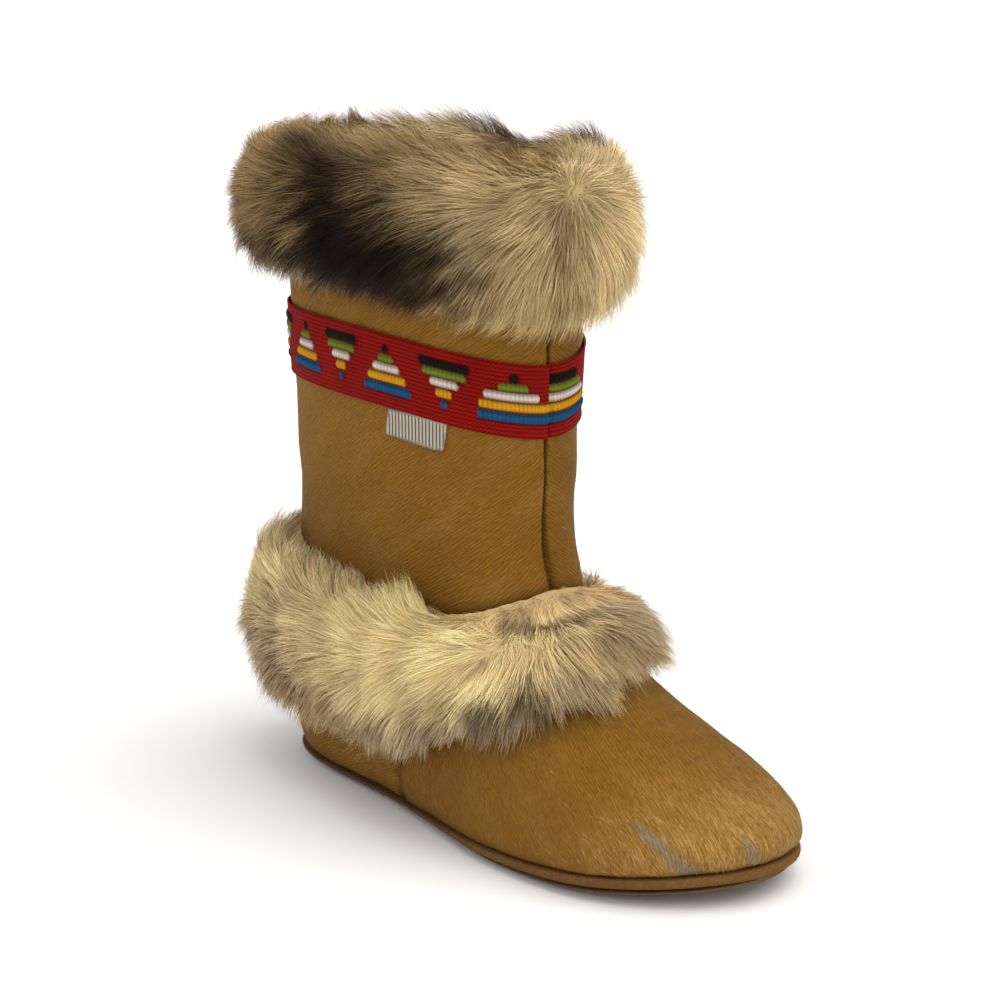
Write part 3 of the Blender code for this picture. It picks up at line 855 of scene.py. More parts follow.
class Fur:
    """One fur's shape: where each of its points lies round the leg and round its own roll."""

    def __init__(self, node, slot, comb, whorl, patches):
        self.node, self.slot, self.comb, self.whorl, self.patches = node, slot, comb, whorl, patches
        self.steps, rims = measured_round(node, self.rims, 0.11)
        self.middles = (rims[:, 0::2] + rims[:, 1::2]) / 2
        self.halves = (rims[:, 1::2] - rims[:, 0::2]) / 2

    def rims(self, points, turns):
        out = self.distance_out(points, turns)
        return out.min(), out.max(), points[:, 2].min(), points[:, 2].max()

    def distance_out(self, points, turns):
        """How far each point lies outside the leg's own oval."""
        apart = points - on_oval(turns, LEG_MIDDLE, points[:, 2])
        return dot(apart[:, :2], outward_of(turns)[:, :2])

    def across(self, points):
        """Each point's turn, its offset out and up from the roll's middle, and the roll's half sizes there."""
        turns = turns_of(points)
        offset = np.stack([self.distance_out(points, turns), points[:, 2]], 1)
        middle, half = (
            np.stack([np.interp(turns, self.steps, sizes[:, axis]) for axis in (0, 1)], 1)
            for sizes in (self.middles, self.halves)
        )
        return turns, offset - middle, half

    def place(self, points):
        turns, offset, half = self.across(points)
        apart = offset / half
        return turns, np.arctan2(apart[:, 1], apart[:, 0])

    def combed(self, turns, places):
        """The comb's way round and over the roll, lift and length at each point, nearest rows of it first."""
        away = on_skin(turns[:, None], places[:, None], self.comb["turn"][None], self.comb["place"][None])
        weight = 1 / (away[0] ** 2 + away[1] ** 2 + 6.0**2) ** 1.6
        weight /= weight.sum(1, keepdims=True)
        return [weight @ self.comb[column] for column in ("around", "along", "lift", "length")]

    def tinted(self, turns, places):
        """The root and tip colour of each hair from the fur's patches."""
        colours, total = np.zeros((2, len(turns), 3)), np.zeros(len(turns))
        for turn, place, wide, high, strength, *tints in self.patches:
            around, along = on_skin(turns, places, float(turn), float(place))
            spread = (around / float(wide)) ** 2 + (along / float(high)) ** 2
            weight = float(strength) * np.exp(-(spread**1.2))
            colours += weight[:, None] * np.array([TINTS[tint] for tint in tints])[:, None]
            total += weight
        return colours / total[:, None]


TINTS = {
    "black": (0.010, 0.005, 0.003),
    "umber": (0.060, 0.034, 0.016),
    "brown": (0.150, 0.088, 0.038),
    "tan": (0.340, 0.225, 0.100),
    "sand": (0.560, 0.395, 0.185),
    "cream": (0.800, 0.610, 0.310),
    "blond": (0.950, 0.760, 0.400),
    "straw": (1.000, 0.790, 0.385),
    "grey": (0.520, 0.400, 0.260),
    "ash": (0.165, 0.125, 0.085),
}
# A whorl: turn, place, reach and strength. A patch: turn, place, half width and half height in millimetres,
# strength, and the hair's root and tip colours.
CUFF_WHORL = (6.2, 1.15, 14.0, 1.6)
CUFF_COMB = table("turn place around along lift length", """
    # outer side, from the whorl at the front to the back
    0.6 1.2 0.95 0.10 0.45 17
    0.6 0.3 0.85 -0.55 0.38 19
    0.6 -0.6 0.50 -0.90 0.35 20
    1.0 1.3 0.95 0.20 0.50 18
    1.0 0.3 0.92 -0.35 0.38 20
    1.0 -0.6 0.70 -0.72 0.38 20
    1.5 1.5 0.75 0.45 0.75 19
    1.5 0.3 0.92 -0.20 0.42 20
    1.5 -0.6 0.75 -0.62 0.42 20
    2.1 1.5 0.45 0.60 0.95 17
    2.1 0.3 0.85 -0.10 0.50 16
    2.1 -0.6 0.60 -0.65 0.50 20
    # back
    2.7 1.5 0.30 0.50 1.00 16
    2.7 0.3 0.50 -0.35 0.50 16
    2.7 -0.7 0.30 -0.85 0.50 20
    3.4 1.5 0.00 0.30 1.00 17
    3.4 0.3 0.00 -0.50 0.60 20
    3.4 -0.7 0.00 -0.95 0.45 20
    # inner side
    4.2 1.5 -0.50 0.35 1.10 18
    4.35 1.5 -0.40 0.40 1.30 20
    4.80 1.4 -0.30 0.90 0.20 7
    4.80 0.8 -0.60 0.40 0.25 12
    4.2 0.3 -0.75 -0.40 0.50 20
    4.2 -0.7 -0.50 -0.80 0.45 20
    5.20 1.5 -0.60 0.40 1.25 20
    5.2 0.3 -0.85 -0.40 0.42 20
    5.2 -0.7 -0.50 -0.80 0.40 20
    5.8 1.2 -0.90 0.10 0.45 18
    5.8 0.3 -0.75 -0.60 0.42 19
    5.8 -0.6 -0.40 -0.92 0.38 20
    # straight below the whorl
    6.2 0.2 0.05 -1.00 0.35 20
    6.2 -0.6 0.05 -1.00 0.33 20
    # the roll's inner slope stands up on the near side and leans in on the far one
    0.4 1.8 0.40 -0.20 1.10 19
    1.0 1.9 0.40 -0.30 1.30 22
    1.7 1.9 0.40 -0.30 1.30 23
    0.3 2.4 0.30 -0.50 1.20 18
    1.0 2.5 0.30 -0.70 1.20 22
    1.9 2.5 0.30 -0.70 1.20 22
    3.1 2.3 0.00 0.20 1.00 17
    4.0 2.4 -0.30 0.30 0.90 18
    4.80 2.2 -0.30 0.60 0.30 9
    5.6 2.3 -0.60 0.20 0.90 16
""")
CUFF_PATCHES = rows_of("""
    0.45 0.2 34 30 1.0 brown cream
    6.20 1.1 18 14 1.2 brown cream
    5.85 0.1 30 28 1.2 brown cream
    0.16 -0.05 6 15 6.0 umber tan
    0.55 -0.25 9 14 1.2 brown tan
    0.72 0.9 16 12 1.0 brown sand
    0.30 -1.0 28 8 0.9 brown sand
    # the black patch in two parts, with brown beside and between them
    1.45 0.15 10 17 26.0 black black
    1.40 -0.75 16 11 26.0 black black
    1.08 -0.62 12 11 22.0 black black
    0.92 -0.75 8 9 5.0 umber brown
    1.20 0.60 10 11 4.0 umber tan
    1.20 1.45 26 9 2.6 brown sand
    1.68 1.25 11 8 5.0 black umber
    # towards the back
    1.98 0.2 19 19 4.5 brown tan
    2.10 -0.95 18 7 5.0 black umber
    1.75 -1.25 26 6 2.0 umber grey
    2.30 1.3 24 12 1.8 brown sand
    2.60 0.1 22 24 1.4 umber sand
    3.30 0.2 34 30 1.2 brown sand
    2.75 1.7 9 9 2.5 black umber
    # inner side
    4.10 0.4 36 30 1.2 umber sand
    4.36 1.5 8 9 6.0 black umber
    4.90 0.0 20 18 2.6 black umber
    5.15 1.6 9 9 8.0 black umber
    4.80 2.0 16 12 4.0 umber brown
    5.40 0.6 22 22 1.0 brown cream
    # the inner slope
    0.8 2.4 40 10 1.4 brown sand
    2.2 2.4 30 10 1.2 umber tan
    3.9 2.4 40 12 1.6 tan cream
    5.0 2.4 24 12 1.4 brown sand
""")
ANKLE_WHORL = (0.66, 1.35, 11.0, 1.3)
ANKLE_COMB = table("turn place around along lift length", """
    # outer side, from the parting to the back
    0.95 1.6 0.85 -0.10 0.45 18
    0.95 0.4 0.80 -0.55 0.38 22
    0.95 -0.6 0.45 -0.90 0.33 20
    1.08 2.0 0.55 0.85 1.20 26
    1.35 2.0 0.60 0.75 0.80 18
    1.20 1.2 0.90 0.10 0.50 20
    1.20 0.1 0.80 -0.60 0.38 23
    1.20 -0.8 0.50 -0.85 0.33 20
    1.55 2.0 0.65 0.65 0.90 20
    1.55 1.2 0.88 0.25 0.60 20
    1.55 0.1 0.85 -0.40 0.42 22
    1.55 -0.8 0.60 -0.78 0.36 20
    1.95 1.8 0.50 0.75 0.80 17
    1.95 0.9 0.80 0.35 0.50 15
    1.95 0.0 0.85 -0.30 0.50 20
    1.95 -0.8 0.60 -0.78 0.40 20
    2.35 1.8 0.40 0.80 0.90 17
    2.35 0.8 0.70 0.25 0.45 12
    2.35 -0.2 0.70 -0.50 0.55 18
    2.35 -1.0 0.40 -0.90 0.42 14
    # back
    3.14 1.8 0.00 0.80 0.75 14
    3.14 0.5 0.00 -0.30 0.50 14
    3.14 -0.8 0.00 -1.00 0.42 14
    # inner side
    4.10 1.8 -0.40 0.70 0.90 19
    4.10 0.5 -0.70 -0.25 0.60 20
    4.10 -0.8 -0.40 -0.90 0.40 20
    5.00 1.8 -0.55 0.40 0.75 18
    5.00 0.3 -0.60 -0.55 0.45 21
    5.00 -0.8 -0.40 -0.90 0.34 19
    5.60 1.5 -0.60 -0.10 0.50 16
    5.60 0.3 -0.50 -0.70 0.40 20
    5.60 -0.8 -0.40 -0.90 0.33 17
    # over the instep
    6.10 1.5 -0.50 -0.60 0.35 17
    6.10 0.2 -0.50 -0.85 0.33 19
    6.10 -0.8 -0.45 -0.90 0.30 18
    0.25 1.4 -0.45 -0.60 0.35 16
    # short and flat along the hem in front
    5.60 2.1 -0.50 -0.30 0.30 12
    6.00 2.1 -0.40 -0.70 0.35 13
    0.15 2.1 -0.30 -0.80 0.38 13
    0.45 2.1 0.20 -0.90 0.38 12
    0.75 2.2 0.60 -0.50 0.45 14
    6.00 2.6 -0.40 -0.70 0.30 8
    0.15 2.6 -0.30 -0.80 0.30 7
    0.50 2.6 0.20 -0.90 0.30 7
    0.25 0.3 -0.55 -0.80 0.35 20
    0.25 -0.8 -0.45 -0.90 0.30 18
""")
ANKLE_PATCHES = rows_of("""
    1.05 0.95 28 19 3.4 cream straw
    1.35 0.2 16 12 1.4 sand blond
    0.90 -0.35 16 8 1.0 sand blond
    # right of the parting
    0.42 1.65 12 6 4.0 umber brown
    0.40 0.5 24 16 1.6 brown cream
    0.68 -0.75 9 7 10.0 black umber
    0.30 2.2 24 5 2.0 sand cream
    0.05 0.2 16 12 1.4 umber sand
    6.15 -0.3 20 14 1.2 ash sand
    5.80 0.1 24 20 1.4 ash grey
    5.75 1.9 14 10 2.0 tan cream
    # the lower fringe
    1.15 -0.95 14 6 5.0 umber grey
    0.90 -1.05 30 8 6.0 brown grey
    1.70 -1.00 40 8 5.0 brown sand
    0.10 -1.05 30 6 1.5 ash sand
    # towards the back
    1.70 0.4 16 16 1.6 brown cream
    1.60 1.6 20 8 1.8 brown cream
    2.15 0.8 20 14 2.0 sand blond
    2.05 -0.4 20 10 1.5 umber grey
    2.45 0.2 18 14 1.6 ash sand
    2.70 0.9 22 14 1.4 tan cream
    3.20 -0.1 36 26 1.2 ash sand
    # inner side
    4.20 0.4 34 20 1.4 tan cream
    4.30 -1.0 60 8 1.6 umber grey
    5.00 0.2 28 20 1.2 ash sand
    5.15 -0.6 12 9 3.0 black ash
""")


def drop_crumbs(piece):
    """Removes everything but the largest connected part."""
    skin = bmesh.new()
    skin.from_mesh(piece.data)
    left, parts = set(skin.verts), []
    while left:
        part, edge = set(), [left.pop()]
        while edge:
            vert = edge.pop()
            part.add(vert)
            found = {link.other_vert(vert) for link in vert.link_edges} & left
            left -= found
            edge += found
        parts.append(part)
    parts.sort(key=len)
    bmesh.ops.delete(skin, geom=[vert for part in parts[:-1] for vert in part], context="VERTS")
    skin.to_mesh(piece.data)
    skin.free()


def pelt(fur, name, sink, hides, surface):
    """A fur's undercoat: the solid with its locks smoothed away, sunk to below where the hairs end."""
    piece = copy_of(fur.node, name)
    modify(piece, "REMESH", mode="VOXEL", voxel_size=3.2 * MM)
    drop_crumbs(piece)
    # Level out how far each point stands from the middle of the roll.
    points = points_of(piece)
    turns, offset, half = fur.across(points)
    apart = offset / half
    stands = np.hypot(*apart.T)
    one, other = fetched(piece.data.edges, "vertices", 2, np.int32).T
    near = np.bincount(one, minlength=len(points)) + np.bincount(other, minlength=len(points))
    level = stands.copy()
    for _ in range(36):
        around = np.bincount(one, level[other], len(points))
        around += np.bincount(other, level[one], len(points))
        level += 0.6 * (around / near - level)
    facing_out = ramp(np.cos(np.arctan2(apart[:, 1], apart[:, 0]) - 0.4), -0.2, 0.3)
    move = offset * ((level / stands - 1) * facing_out)[:, None]
    points += outward_of(turns) * move[:, :1]
    points[:, 2] += move[:, 1]
    if fur.node == "ankle_fur":
        # In front it starts level with the hem, so that the seam shows.
        out = np.clip(fur.distance_out(points, turns), 0, 20 * MM)
        limit = (low_edge(turns) + 3.4 + 2.0 * bell(wrapped(turns - 0.05), 0.25)) * MM + 0.3 * out
        points[:, 2] -= in_front(turns) * np.clip(points[:, 2] - limit, 0, None)
    else:
        # The far side of the rim dips a little.
        points[:, 2] -= 4 * MM * bell(np.abs(wrapped(turns - 4.8)), 0.28) * ramp(offset[:, 1], 0, 12 * MM)
    move_points(piece, points)
    modify(piece, "SMOOTH", factor=0.6, iterations=6)
    points = points_of(piece)
    free = np.linalg.norm(points - nearest_on(hides, points)[0], axis=1)
    move_points(piece, points - normals_of(piece) * (sink * MM * ramp(free, 0.5 * MM, 6 * MM))[:, None])
    paint(piece, "hair_tint", (0.45 * fur.tinted(*fur.place(points_of(piece))).sum(0)).clip(0, 1))
    finish(piece, surface, fur.slot, fur.node)
    return piece


def in_front(turns):
    return ramp(np.cos(wrapped(turns - 0.1)), 0.45, 0.75)


def hair_rows(roots, normals, aim, lift, length, steps, droop):
    """Each hair's points: it starts out along the skin's normal and bends over into its combed direction."""
    rows = [roots]
    for k in range(1, steps):
        share = (k - 0.5) / (steps - 1)
        way = unit(aim * (0.5 + 0.9 * share) + normals * (lift * (1.25 - 1.05 * share))[:, None])
        way = unit(way - np.array([0, 0, droop]) * share)
        rows.append(rows[-1] + way * (length / (steps - 1))[:, None])
    return np.stack(rows, 1)


def grow_fur(fur, skin, hides, coats, seed, surface):
    """Deep fur: a fine short undercoat, then long hairs that lean together in small clumps. Each coat gives
    its name, number of hairs, points in a hair, share of the full length, width and how much it clumps."""
    chance = np.random.default_rng(seed)
    for name, count, steps, reach, broad, pull in coats:
        roots, normals = sample(skin, int(count * 1.5), chance)
        free = np.array([hides.ray_cast(root, way, 6 * MM)[0] is None for root, way in zip(roots, normals)])
        room = np.linalg.norm(roots - nearest_on(hides, roots)[0], axis=1)
        room += 1 - in_front(turns_of(roots)) if fur.node == "ankle_fur" else 1
        order = chance.permutation(np.flatnonzero(free & (room > 0.5 * MM)))[:count]
        roots, normals, room = roots[order], normals[order], room[order]
        count = len(roots)
        uneven = {scale: ripple(roots / MM, scale, seed + k) for k, scale in enumerate(UNEVEN, 1)}
        turns, places = fur.place(roots)
        around, along, lift, length = fur.combed(turns, places)
        # From the whorl the hair lies outwards all round.
        off_round, off_along = on_skin(turns, places, *fur.whorl[:2])
        far = np.hypot(off_round, off_along) + 1.0
        near = np.exp(-((far / fur.whorl[2]) ** 2)) * fur.whorl[3]
        around, along = around + near * off_round / far, along + near * off_along / far
        lift = lift + 0.2 * np.exp(-((far / 7.0) ** 2))
        onward = onward_of(turns)
        onward = unit(onward - normals * dot(onward, normals)[:, None])
        aim = unit(onward * around[:, None] + np.cross(onward, normals) * along[:, None])
        # Locks sway a little together, and each hair a little on its own.
        sway = 0.26 * uneven[17.0] + 0.14 * uneven[6.0]
        sway += chance.normal(0, 0.09, count) + chance.normal(0, 0.7, count) * np.exp(-((far / 8.0) ** 2))
        aim = unit(aim + np.cross(normals, aim) * sway[:, None])
        lift = lift * (1 + 0.25 * uneven[13.0]) + chance.normal(0, 0.07, count)
        length = length * reach * MM * chance.uniform(0.66, 1.12, count)
        length *= (1 + 0.12 * uneven[10.0]) * (0.3 + 0.7 * ramp(room, 1 * MM, 9 * MM))
        rows = hair_rows(roots - normals * MM, normals, aim, np.clip(lift, 0.12, 1.5), length, steps, 0.12)
        rows, lock = lean_together(rows, 90, pull, chance)
        rows, tuft = lean_together(rows, 14, 0.5 * pull, chance)
        rows = lift_clear(hides, rows, 0.6 * MM)
        spread = chance.normal(0, 1, (count, 2)) * [0.045, 0.09] + 0.11 * uneven[9.0][:, None] * [1, 1.8]
        seen_turns, seen_places = fur.place(rows[:, -2])
        root, tip = fur.tinted(seen_turns + spread[:, 0], seen_places + spread[:, 1])
        tone = 1 + chance.normal(0, 0.18, count)[lock] + chance.normal(0, 0.08, count)[tuft]
        tone += chance.normal(0, 0.10, count) + 0.08 * uneven[5.0]
        # Single dark hairs, more of them towards the back.
        dark = (chance.random(count) < 0.05 + 0.16 * bell(np.abs(wrapped(turns - 2.1)), 0.5))[:, None]
        tip = np.where(dark, root * 0.5, tip)
        along_hair = np.linspace(0, 1, steps)
        share = np.interp(along_hair, (0, 0.33, 0.66, 1), (0.30, 0.6, 0.85, 1))[None, :, None]
        tints = root[:, None] * (1 - share) + tip[:, None] * share
        shade = np.interp(along_hair, (0, 0.33, 0.66, 1), (0.9, 1.0, 1.0, 0.95))
        tints *= tone.clip(0.5, 1.5)[:, None, None] * shade[None, :, None]
        widths = (chance.uniform(0.75, 1.25, count) * broad * MM)[:, None]
        widths = widths * np.interp(along_hair, (0, 0.4, 0.7, 1), (1, 0.95, 0.6, 0))
        twist = chance.normal(0, 0.45, count)[:, None]
        facing = unit(normals * np.cos(twist) + np.cross(aim, normals) * np.sin(twist))
        ribbons(name, rows, widths, facing, tints, surface, unit(normals + 0.5 * facing), fur.slot)


# How far apart a fur's unevennesses lie: of its sway, sway, lift, length, colour and tone.
UNEVEN = (17.0, 6.0, 13.0, 10.0, 9.0, 5.0)


def short_hairs(name, roots, normals, tips, tints, wide, chance, surface, slot):
    """Hairs of one straight length, so many millimetres wide at the root."""
    rows = np.stack([roots - normals * 0.05 * MM, tips], 1)
    widths = (chance.uniform(*wide, len(roots)) * MM)[:, None] * [1.0, 0.0]
    ribbons(name, rows, widths, normals, tints, surface, normals, slot)


def grow_coat(name, piece, middle, count, seed, surface, slot):
    """The hide's short coat: flat fine hairs that lie one way."""
    chance = np.random.default_rng(seed)
    roots, normals = sample(piece, count, chance, outer_faces(piece, middle))
    kept = scuffed(roots) < 0.3 + 0.8 * chance.random(count)
    roots, normals = roots[kept], normals[kept]
    count = len(roots)
    aim = hide_flow(roots, normals)
    sway = 0.12 * ripple(roots / MM, 24.0, seed + 1) + 0.07 * ripple(roots / MM, 8.0, seed + 2)
    sway += chance.normal(0, 0.07, count)
    aim = unit(aim + np.cross(normals, aim) * sway[:, None])
    long = 3.4 * MM * chance.uniform(0.7, 1.25, count)
    tips = roots + aim * long[:, None] + normals * (long * chance.uniform(0.02, 0.08, count))[:, None]
    tone = 0.5 + 0.16 * chance.normal(size=count) + 0.07 * ripple(roots / MM, 20.0, seed + 3)
    toe = faded(roots, normals) if middle is foot_spine else np.zeros(count)
    tint = shaded(GOLD_DARK, GOLD, tone + 0.2 * toe)
    pale = 0.002 + 0.34 * toe * (0.5 + 0.8 * ripple(roots / MM, 3.0, seed + 4))
    glint = (chance.random(count) < pale)[:, None]
    # The coat's hairs take the hide's painted shade too.
    tint = np.where(glint, np.array(GOLD_PALE), tint) * (1 - 0.6 * painted_hide_shade(roots, piece)[:, None])
    tints = tint[:, None] * np.array([0.85, 1.1])[None, :, None]
    short_hairs(name, roots, normals, tips, tints, (0.14, 0.26), chance, surface, slot)


def rand_nap(piece, surface):
    """The rand's suede nap: short fibres that stand every way."""
    chance = np.random.default_rng(29)
    roots, normals = sample(piece, 34000, chance)
    kept = (normals[:, 2] > -0.6) & (normals[:, 2] < 0.85)
    roots, normals = roots[kept], normals[kept]
    count = len(roots)
    loose = chance.normal(0, 1, (count, 3))
    aim = unit(loose - normals * dot(loose, normals)[:, None])
    tips = roots + (aim * 1.1 + normals * chance.uniform(0.2, 0.9, count)[:, None]) * MM
    tint = shaded((0.085, 0.036, 0.008), (0.300, 0.150, 0.040), 0.45 + 0.25 * chance.normal(size=count))
    tints = np.stack([tint, tint], 1)
    short_hairs("rand_nap", roots, normals, tips, tints, (0.12, 0.24), chance, surface, "leather")


def shaded(dark, light, tone):
    """A tint for each hair between a dark and a light one."""
    tone = np.clip(tone, 0, 1)[:, None]
    return np.array(dark) * (1 - tone) + np.array(light) * tone


# ---------------------------------------------------------------- tape, label and stitches

# The tape's chart. Its rows are bands of its height from the top, each with its thread's colour. A triangle
# has its own half width in each row: up is one that points up, down one that points down, first the wide one
# beside the front seam, and end the tape's other end. Distances round it run from the front seam to the outer
# side.
TAPE_RED = (0.400, 0.010, 0.006)
TAPE_CHART = table("top bottom red green blue up down first end", """
    0.150 0.262 0.012 0.012 0.011  1.4 10.6  1.9 15.5
    0.278 0.386 0.230 0.300 0.030  3.8  9.0  6.0 18.5
    0.400 0.508 1.000 0.850 0.760  6.6  5.8 11.2 21.5
    0.528 0.655 0.950 0.430 0.015  9.6  3.2 13.2 24.5
    0.672 0.800 0.018 0.120 0.280 12.1  1.3 16.2 27.0
""")
FIRST_CENTRE = 17.4
REPEAT = 26.8
REPEATS = 12
TAPE_WIDE = 27.5
PICK = 1.53
STITCH = 1.70


def tape_chart(around, down):
    """The colour of the tape, with painted shadow just outside its bars and painted shade towards their edges,
    and how far each row of thread is raised, at distances round it and down it.
    """
    colour = np.tile(np.array(TAPE_RED), (len(around), 1))
    raised = np.zeros(len(around))
    index = np.clip(np.round((around - FIRST_CENTRE) / REPEAT), 0, REPEATS - 1)
    beside = around - FIRST_CENTRE - index * REPEAT
    scallop = 0.010 * np.abs(np.sin(math.pi * around / STITCH))
    for row, (top, bottom, *thread, up, pointed, first, end) in enumerate(zip(*TAPE_CHART.values())):
        half = np.where(index == 0, first, np.where(index % 2 == 0, up, pointed))
        # The first triangle's two lowest rows run on to the seam, and so do all rows of the tape's other end.
        half = np.where((index == 0) & (beside < 0) & (row > 2), FIRST_CENTRE + 2, half)
        middle = 2 * down - top - bottom
        # A bar's ends are rounded.
        round_off = 1.1 * (1 - np.sqrt(1 - np.clip(middle / (bottom - top), -1, 1) ** 2))
        within = np.where(around < -0.5, around + end, half - np.abs(beside)) - round_off
        within = np.where(np.abs(around) < 0.5, -1, within)
        edges = [ramp(down, edge - 0.008 - scallop, edge + 0.008 - scallop) for edge in (top, bottom)]
        share = ramp(within, -0.25, 0.25) * (edges[0] * (1 - edges[1]))
        # Painted shadow: the ground is darker just outside each bar.
        shadow = ramp(within, -0.8, 0.1) * (1 - ramp(np.abs(middle) - (bottom - top), 0.02, 0.05))
        colour = colour * (1 - 0.65 * shadow * (1 - share))[:, None]
        # Painted shade: each bar's colour darkens from its crown towards its edges.
        crown = np.sin(math.pi * np.clip((down - top) / (bottom - top), 0.03, 0.97)) ** 0.6
        bar = np.array(thread) * (0.45 + 0.55 * crown)[:, None]
        colour = colour * (1 - share[:, None]) + bar * share[:, None]
        raised = np.maximum(raised, share * crown)
    return colour, raised


def on_leg(leg, turns, heights):
    """Where the turns and heights lie on the shaft's outer face, and which way it looks there."""
    ways = outward_of(turns)
    middles = on_oval(turns, (LEG_MIDDLE[0], 0.0), heights)
    hits = [leg.ray_cast(middle + way * 0.2, -way)[:2] for middle, way in zip(middles, ways)]
    spots = [middle if hit[0] is None else hit[0] for hit, middle in zip(hits, middles)]
    return np.array(spots), np.array([way if hit[0] is None else hit[1] for hit, way in zip(hits, ways)])


def ring_edges(points, turns):
    """A little below the lower edge and above the upper edge of a ring's piece."""
    heights = points[:, 2]
    low, high = heights[heights < heights.min() + 2 * MM], heights[heights > heights.max() - 2 * MM]
    return low.mean() - 0.5 * MM, high.mean() + 0.5 * MM


def woven_tape(leg, surface):
    """The tape as a sheet wrapped round the shaft, its threads raised row by row."""
    bpy.ops.object.select_all(action="DESELECT")
    bpy.ops.mesh.primitive_grid_add(x_subdivisions=640, y_subdivisions=52, size=2)
    piece = bpy.context.object
    piece.name = "tape"
    share_round, share_up = ((points_of(piece)[:, :2] + 1) / 2).T
    # Even steps round the shaft, from the front seam round the outer side and back to it.
    fine = np.linspace(0, TURN, 2001)
    gone = gone_round(fine)
    turns = np.interp(share_round * gone[-1], gone, fine)
    run = share_round * gone[-1] / MM
    around = np.where(run > gone[-1] / MM - 35, run - gone[-1] / MM, run)
    steps, edges = measured_round("woven_tape", ring_edges, 0.10)
    bottom, top = (np.interp(turns, steps, edge, period=TURN) for edge in edges.T)
    spots, normals = on_leg(leg, turns, bottom + share_up * (top - bottom))
    colour, raised = tape_chart(around, 1 - share_up)
    # The bars' stitches stand up, the edges are beaded, and the tape dips into the front seam.
    mm_up = share_up * TAPE_WIDE
    to_edge, to_seam = np.minimum(mm_up, TAPE_WIDE - mm_up), np.abs(wrapped(turns)) * 43
    knit = np.abs(np.sin(math.pi * run / STITCH + np.where(np.floor(mm_up / PICK) % 2, 0, math.pi / 2)))
    bar_knit = np.abs(np.sin(math.pi * run / STITCH))
    lift = 1.35 + raised * (0.50 + 0.22 * bar_knit) + 0.2 * bell(to_edge, 0.9)
    lift = lift * ramp(to_edge, -0.6, 0.55) - 1.1 * bell(to_seam, 0.55)
    points = spots + unit(normals * [1, 1, 0.2]) * (0.2 + lift)[:, None] * MM
    move_points(piece, points)
    # Painted shade: the knit stitches shaded along their rows, and the tape darker where it dips into the
    # front seam.
    shade = np.where(raised > 0.05, 0.62 + 0.38 * bar_knit, 0.80 + 0.20 * knit)
    shade *= 1 - 0.12 * (0.5 + 0.5 * ripple(points / MM, 20.0, 31))
    shade *= 1 - 0.7 * bell(to_seam, 0.7)
    paint(piece, "thread_tint_and_shade", colour * shade[:, None])
    paint(piece, "bar", raised)
    set_map(piece, "cloth", np.stack([run, mm_up], 1) * MM)
    edit(piece, bpy.ops.mesh.remove_doubles, threshold=0.01 * MM)
    edit(piece, bpy.ops.mesh.normals_make_consistent, inside=False)
    finish(piece, surface, "tape", "woven_tape")


def stitch_row(name, spots, ways, outs, length, thick, surface):
    """A row of stitches: one rounded thread made once and copied along a seam."""
    bpy.ops.object.select_all(action="DESELECT")
    bpy.ops.mesh.primitive_uv_sphere_add(segments=8, ring_count=6, radius=0.5)
    model = bpy.context.object
    shape = points_of(model) * [thick * MM, thick * MM, length * MM]
    faces = [list(polygon.vertices) for polygon in model.data.polygons]
    bpy.data.objects.remove(model)
    frames = np.stack([unit(np.cross(outs, ways)), outs, ways], 1)
    points = (spots[:, None] + shape @ frames).reshape(-1, 3)
    starts = range(0, len(points), len(shape))
    copies = [[corner + start for corner in face] for start in starts for face in faces]
    mesh = bpy.data.meshes.new(name)
    mesh.from_pydata(points.tolist(), [], copies)
    piece = placed(name, mesh)
    edit(piece, bpy.ops.mesh.normals_make_consistent, inside=False)
    finish(piece, surface, "shaft_hide")


def label_tab(surface):
    """The cloth tab: the CAD tab made finer, with a raised woven edge."""
    wide, high = 27.0, 11.5
    piece = copy_of("label", "label_tab")
    modify(piece, "SUBSURF", subdivision_type="SIMPLE", levels=3, render_levels=3)
    points = points_of(piece)
    turns = turns_of(points)
    steps = np.linspace(turns.min(), turns.max(), 40)
    columns = [points[np.abs(turns - step) < 0.05, 2] for step in steps]
    top = np.interp(turns, steps, [column.max() for column in columns])
    bottom = np.interp(turns, steps, [column.min() for column in columns])
    down = (top - points[:, 2]) / (top - bottom)
    along = (turns - turns.min()) / np.ptp(turns)
    border = np.minimum.reduce([down * high, (1 - down) * high, along * wide, (1 - along) * wide])
    edging = 1 - ramp(border, 1.2, 1.7)
    paint(piece, "edging", edging)
    paint(piece, "outline", 1 - ramp(border, 0.25, 0.6))
    move_points(piece, points + normals_of(piece) * (0.12 * edging * MM)[:, None])
    set_map(piece, "cloth", np.stack([along * wide * MM, down * high * MM], 1))
    finish(piece, surface, "label_cloth", "label")


def outer_tree(*pieces):
    """A search tree over the outer faces of the hides."""
    points, faces = [], []
    for piece, middle in pieces:
        start = len(points)
        points += points_of(piece).tolist()
        for face, kept in zip(piece.data.polygons, outer_faces(piece, middle)):
            if kept:
                faces.append([start + corner for corner in face.vertices])
    return BVHTree.FromPolygons(points, faces)


# ---------------------------------------------------------------- the boot

hem_turns, hem_edges = measured_round("shaft", ring_edges, 0.10)
hem = hem_edges[:, 0]

lining = felt_material("lining_felt", (0.26, 0.18, 0.11), (0.50, 0.38, 0.26))
fur_surface = hair_material("fur_hair")
coat_surface = hair_material("coat_hair", 0.55, 0.15)

foot = rounded("upper", "foot_hide")
dress_hide(foot, foot_spine, FOOT_CREASES, hide_material("foot_hide"), lining)
settle(foot, "hide", "upper")

shaft = rounded("shaft", "shaft_tube")
finer_seams(shaft)
dress_hide(shaft, leg_spine, SHAFT_CREASES, hide_material("shaft_hide"), lining)
settle(shaft, "shaft_hide", "shaft")

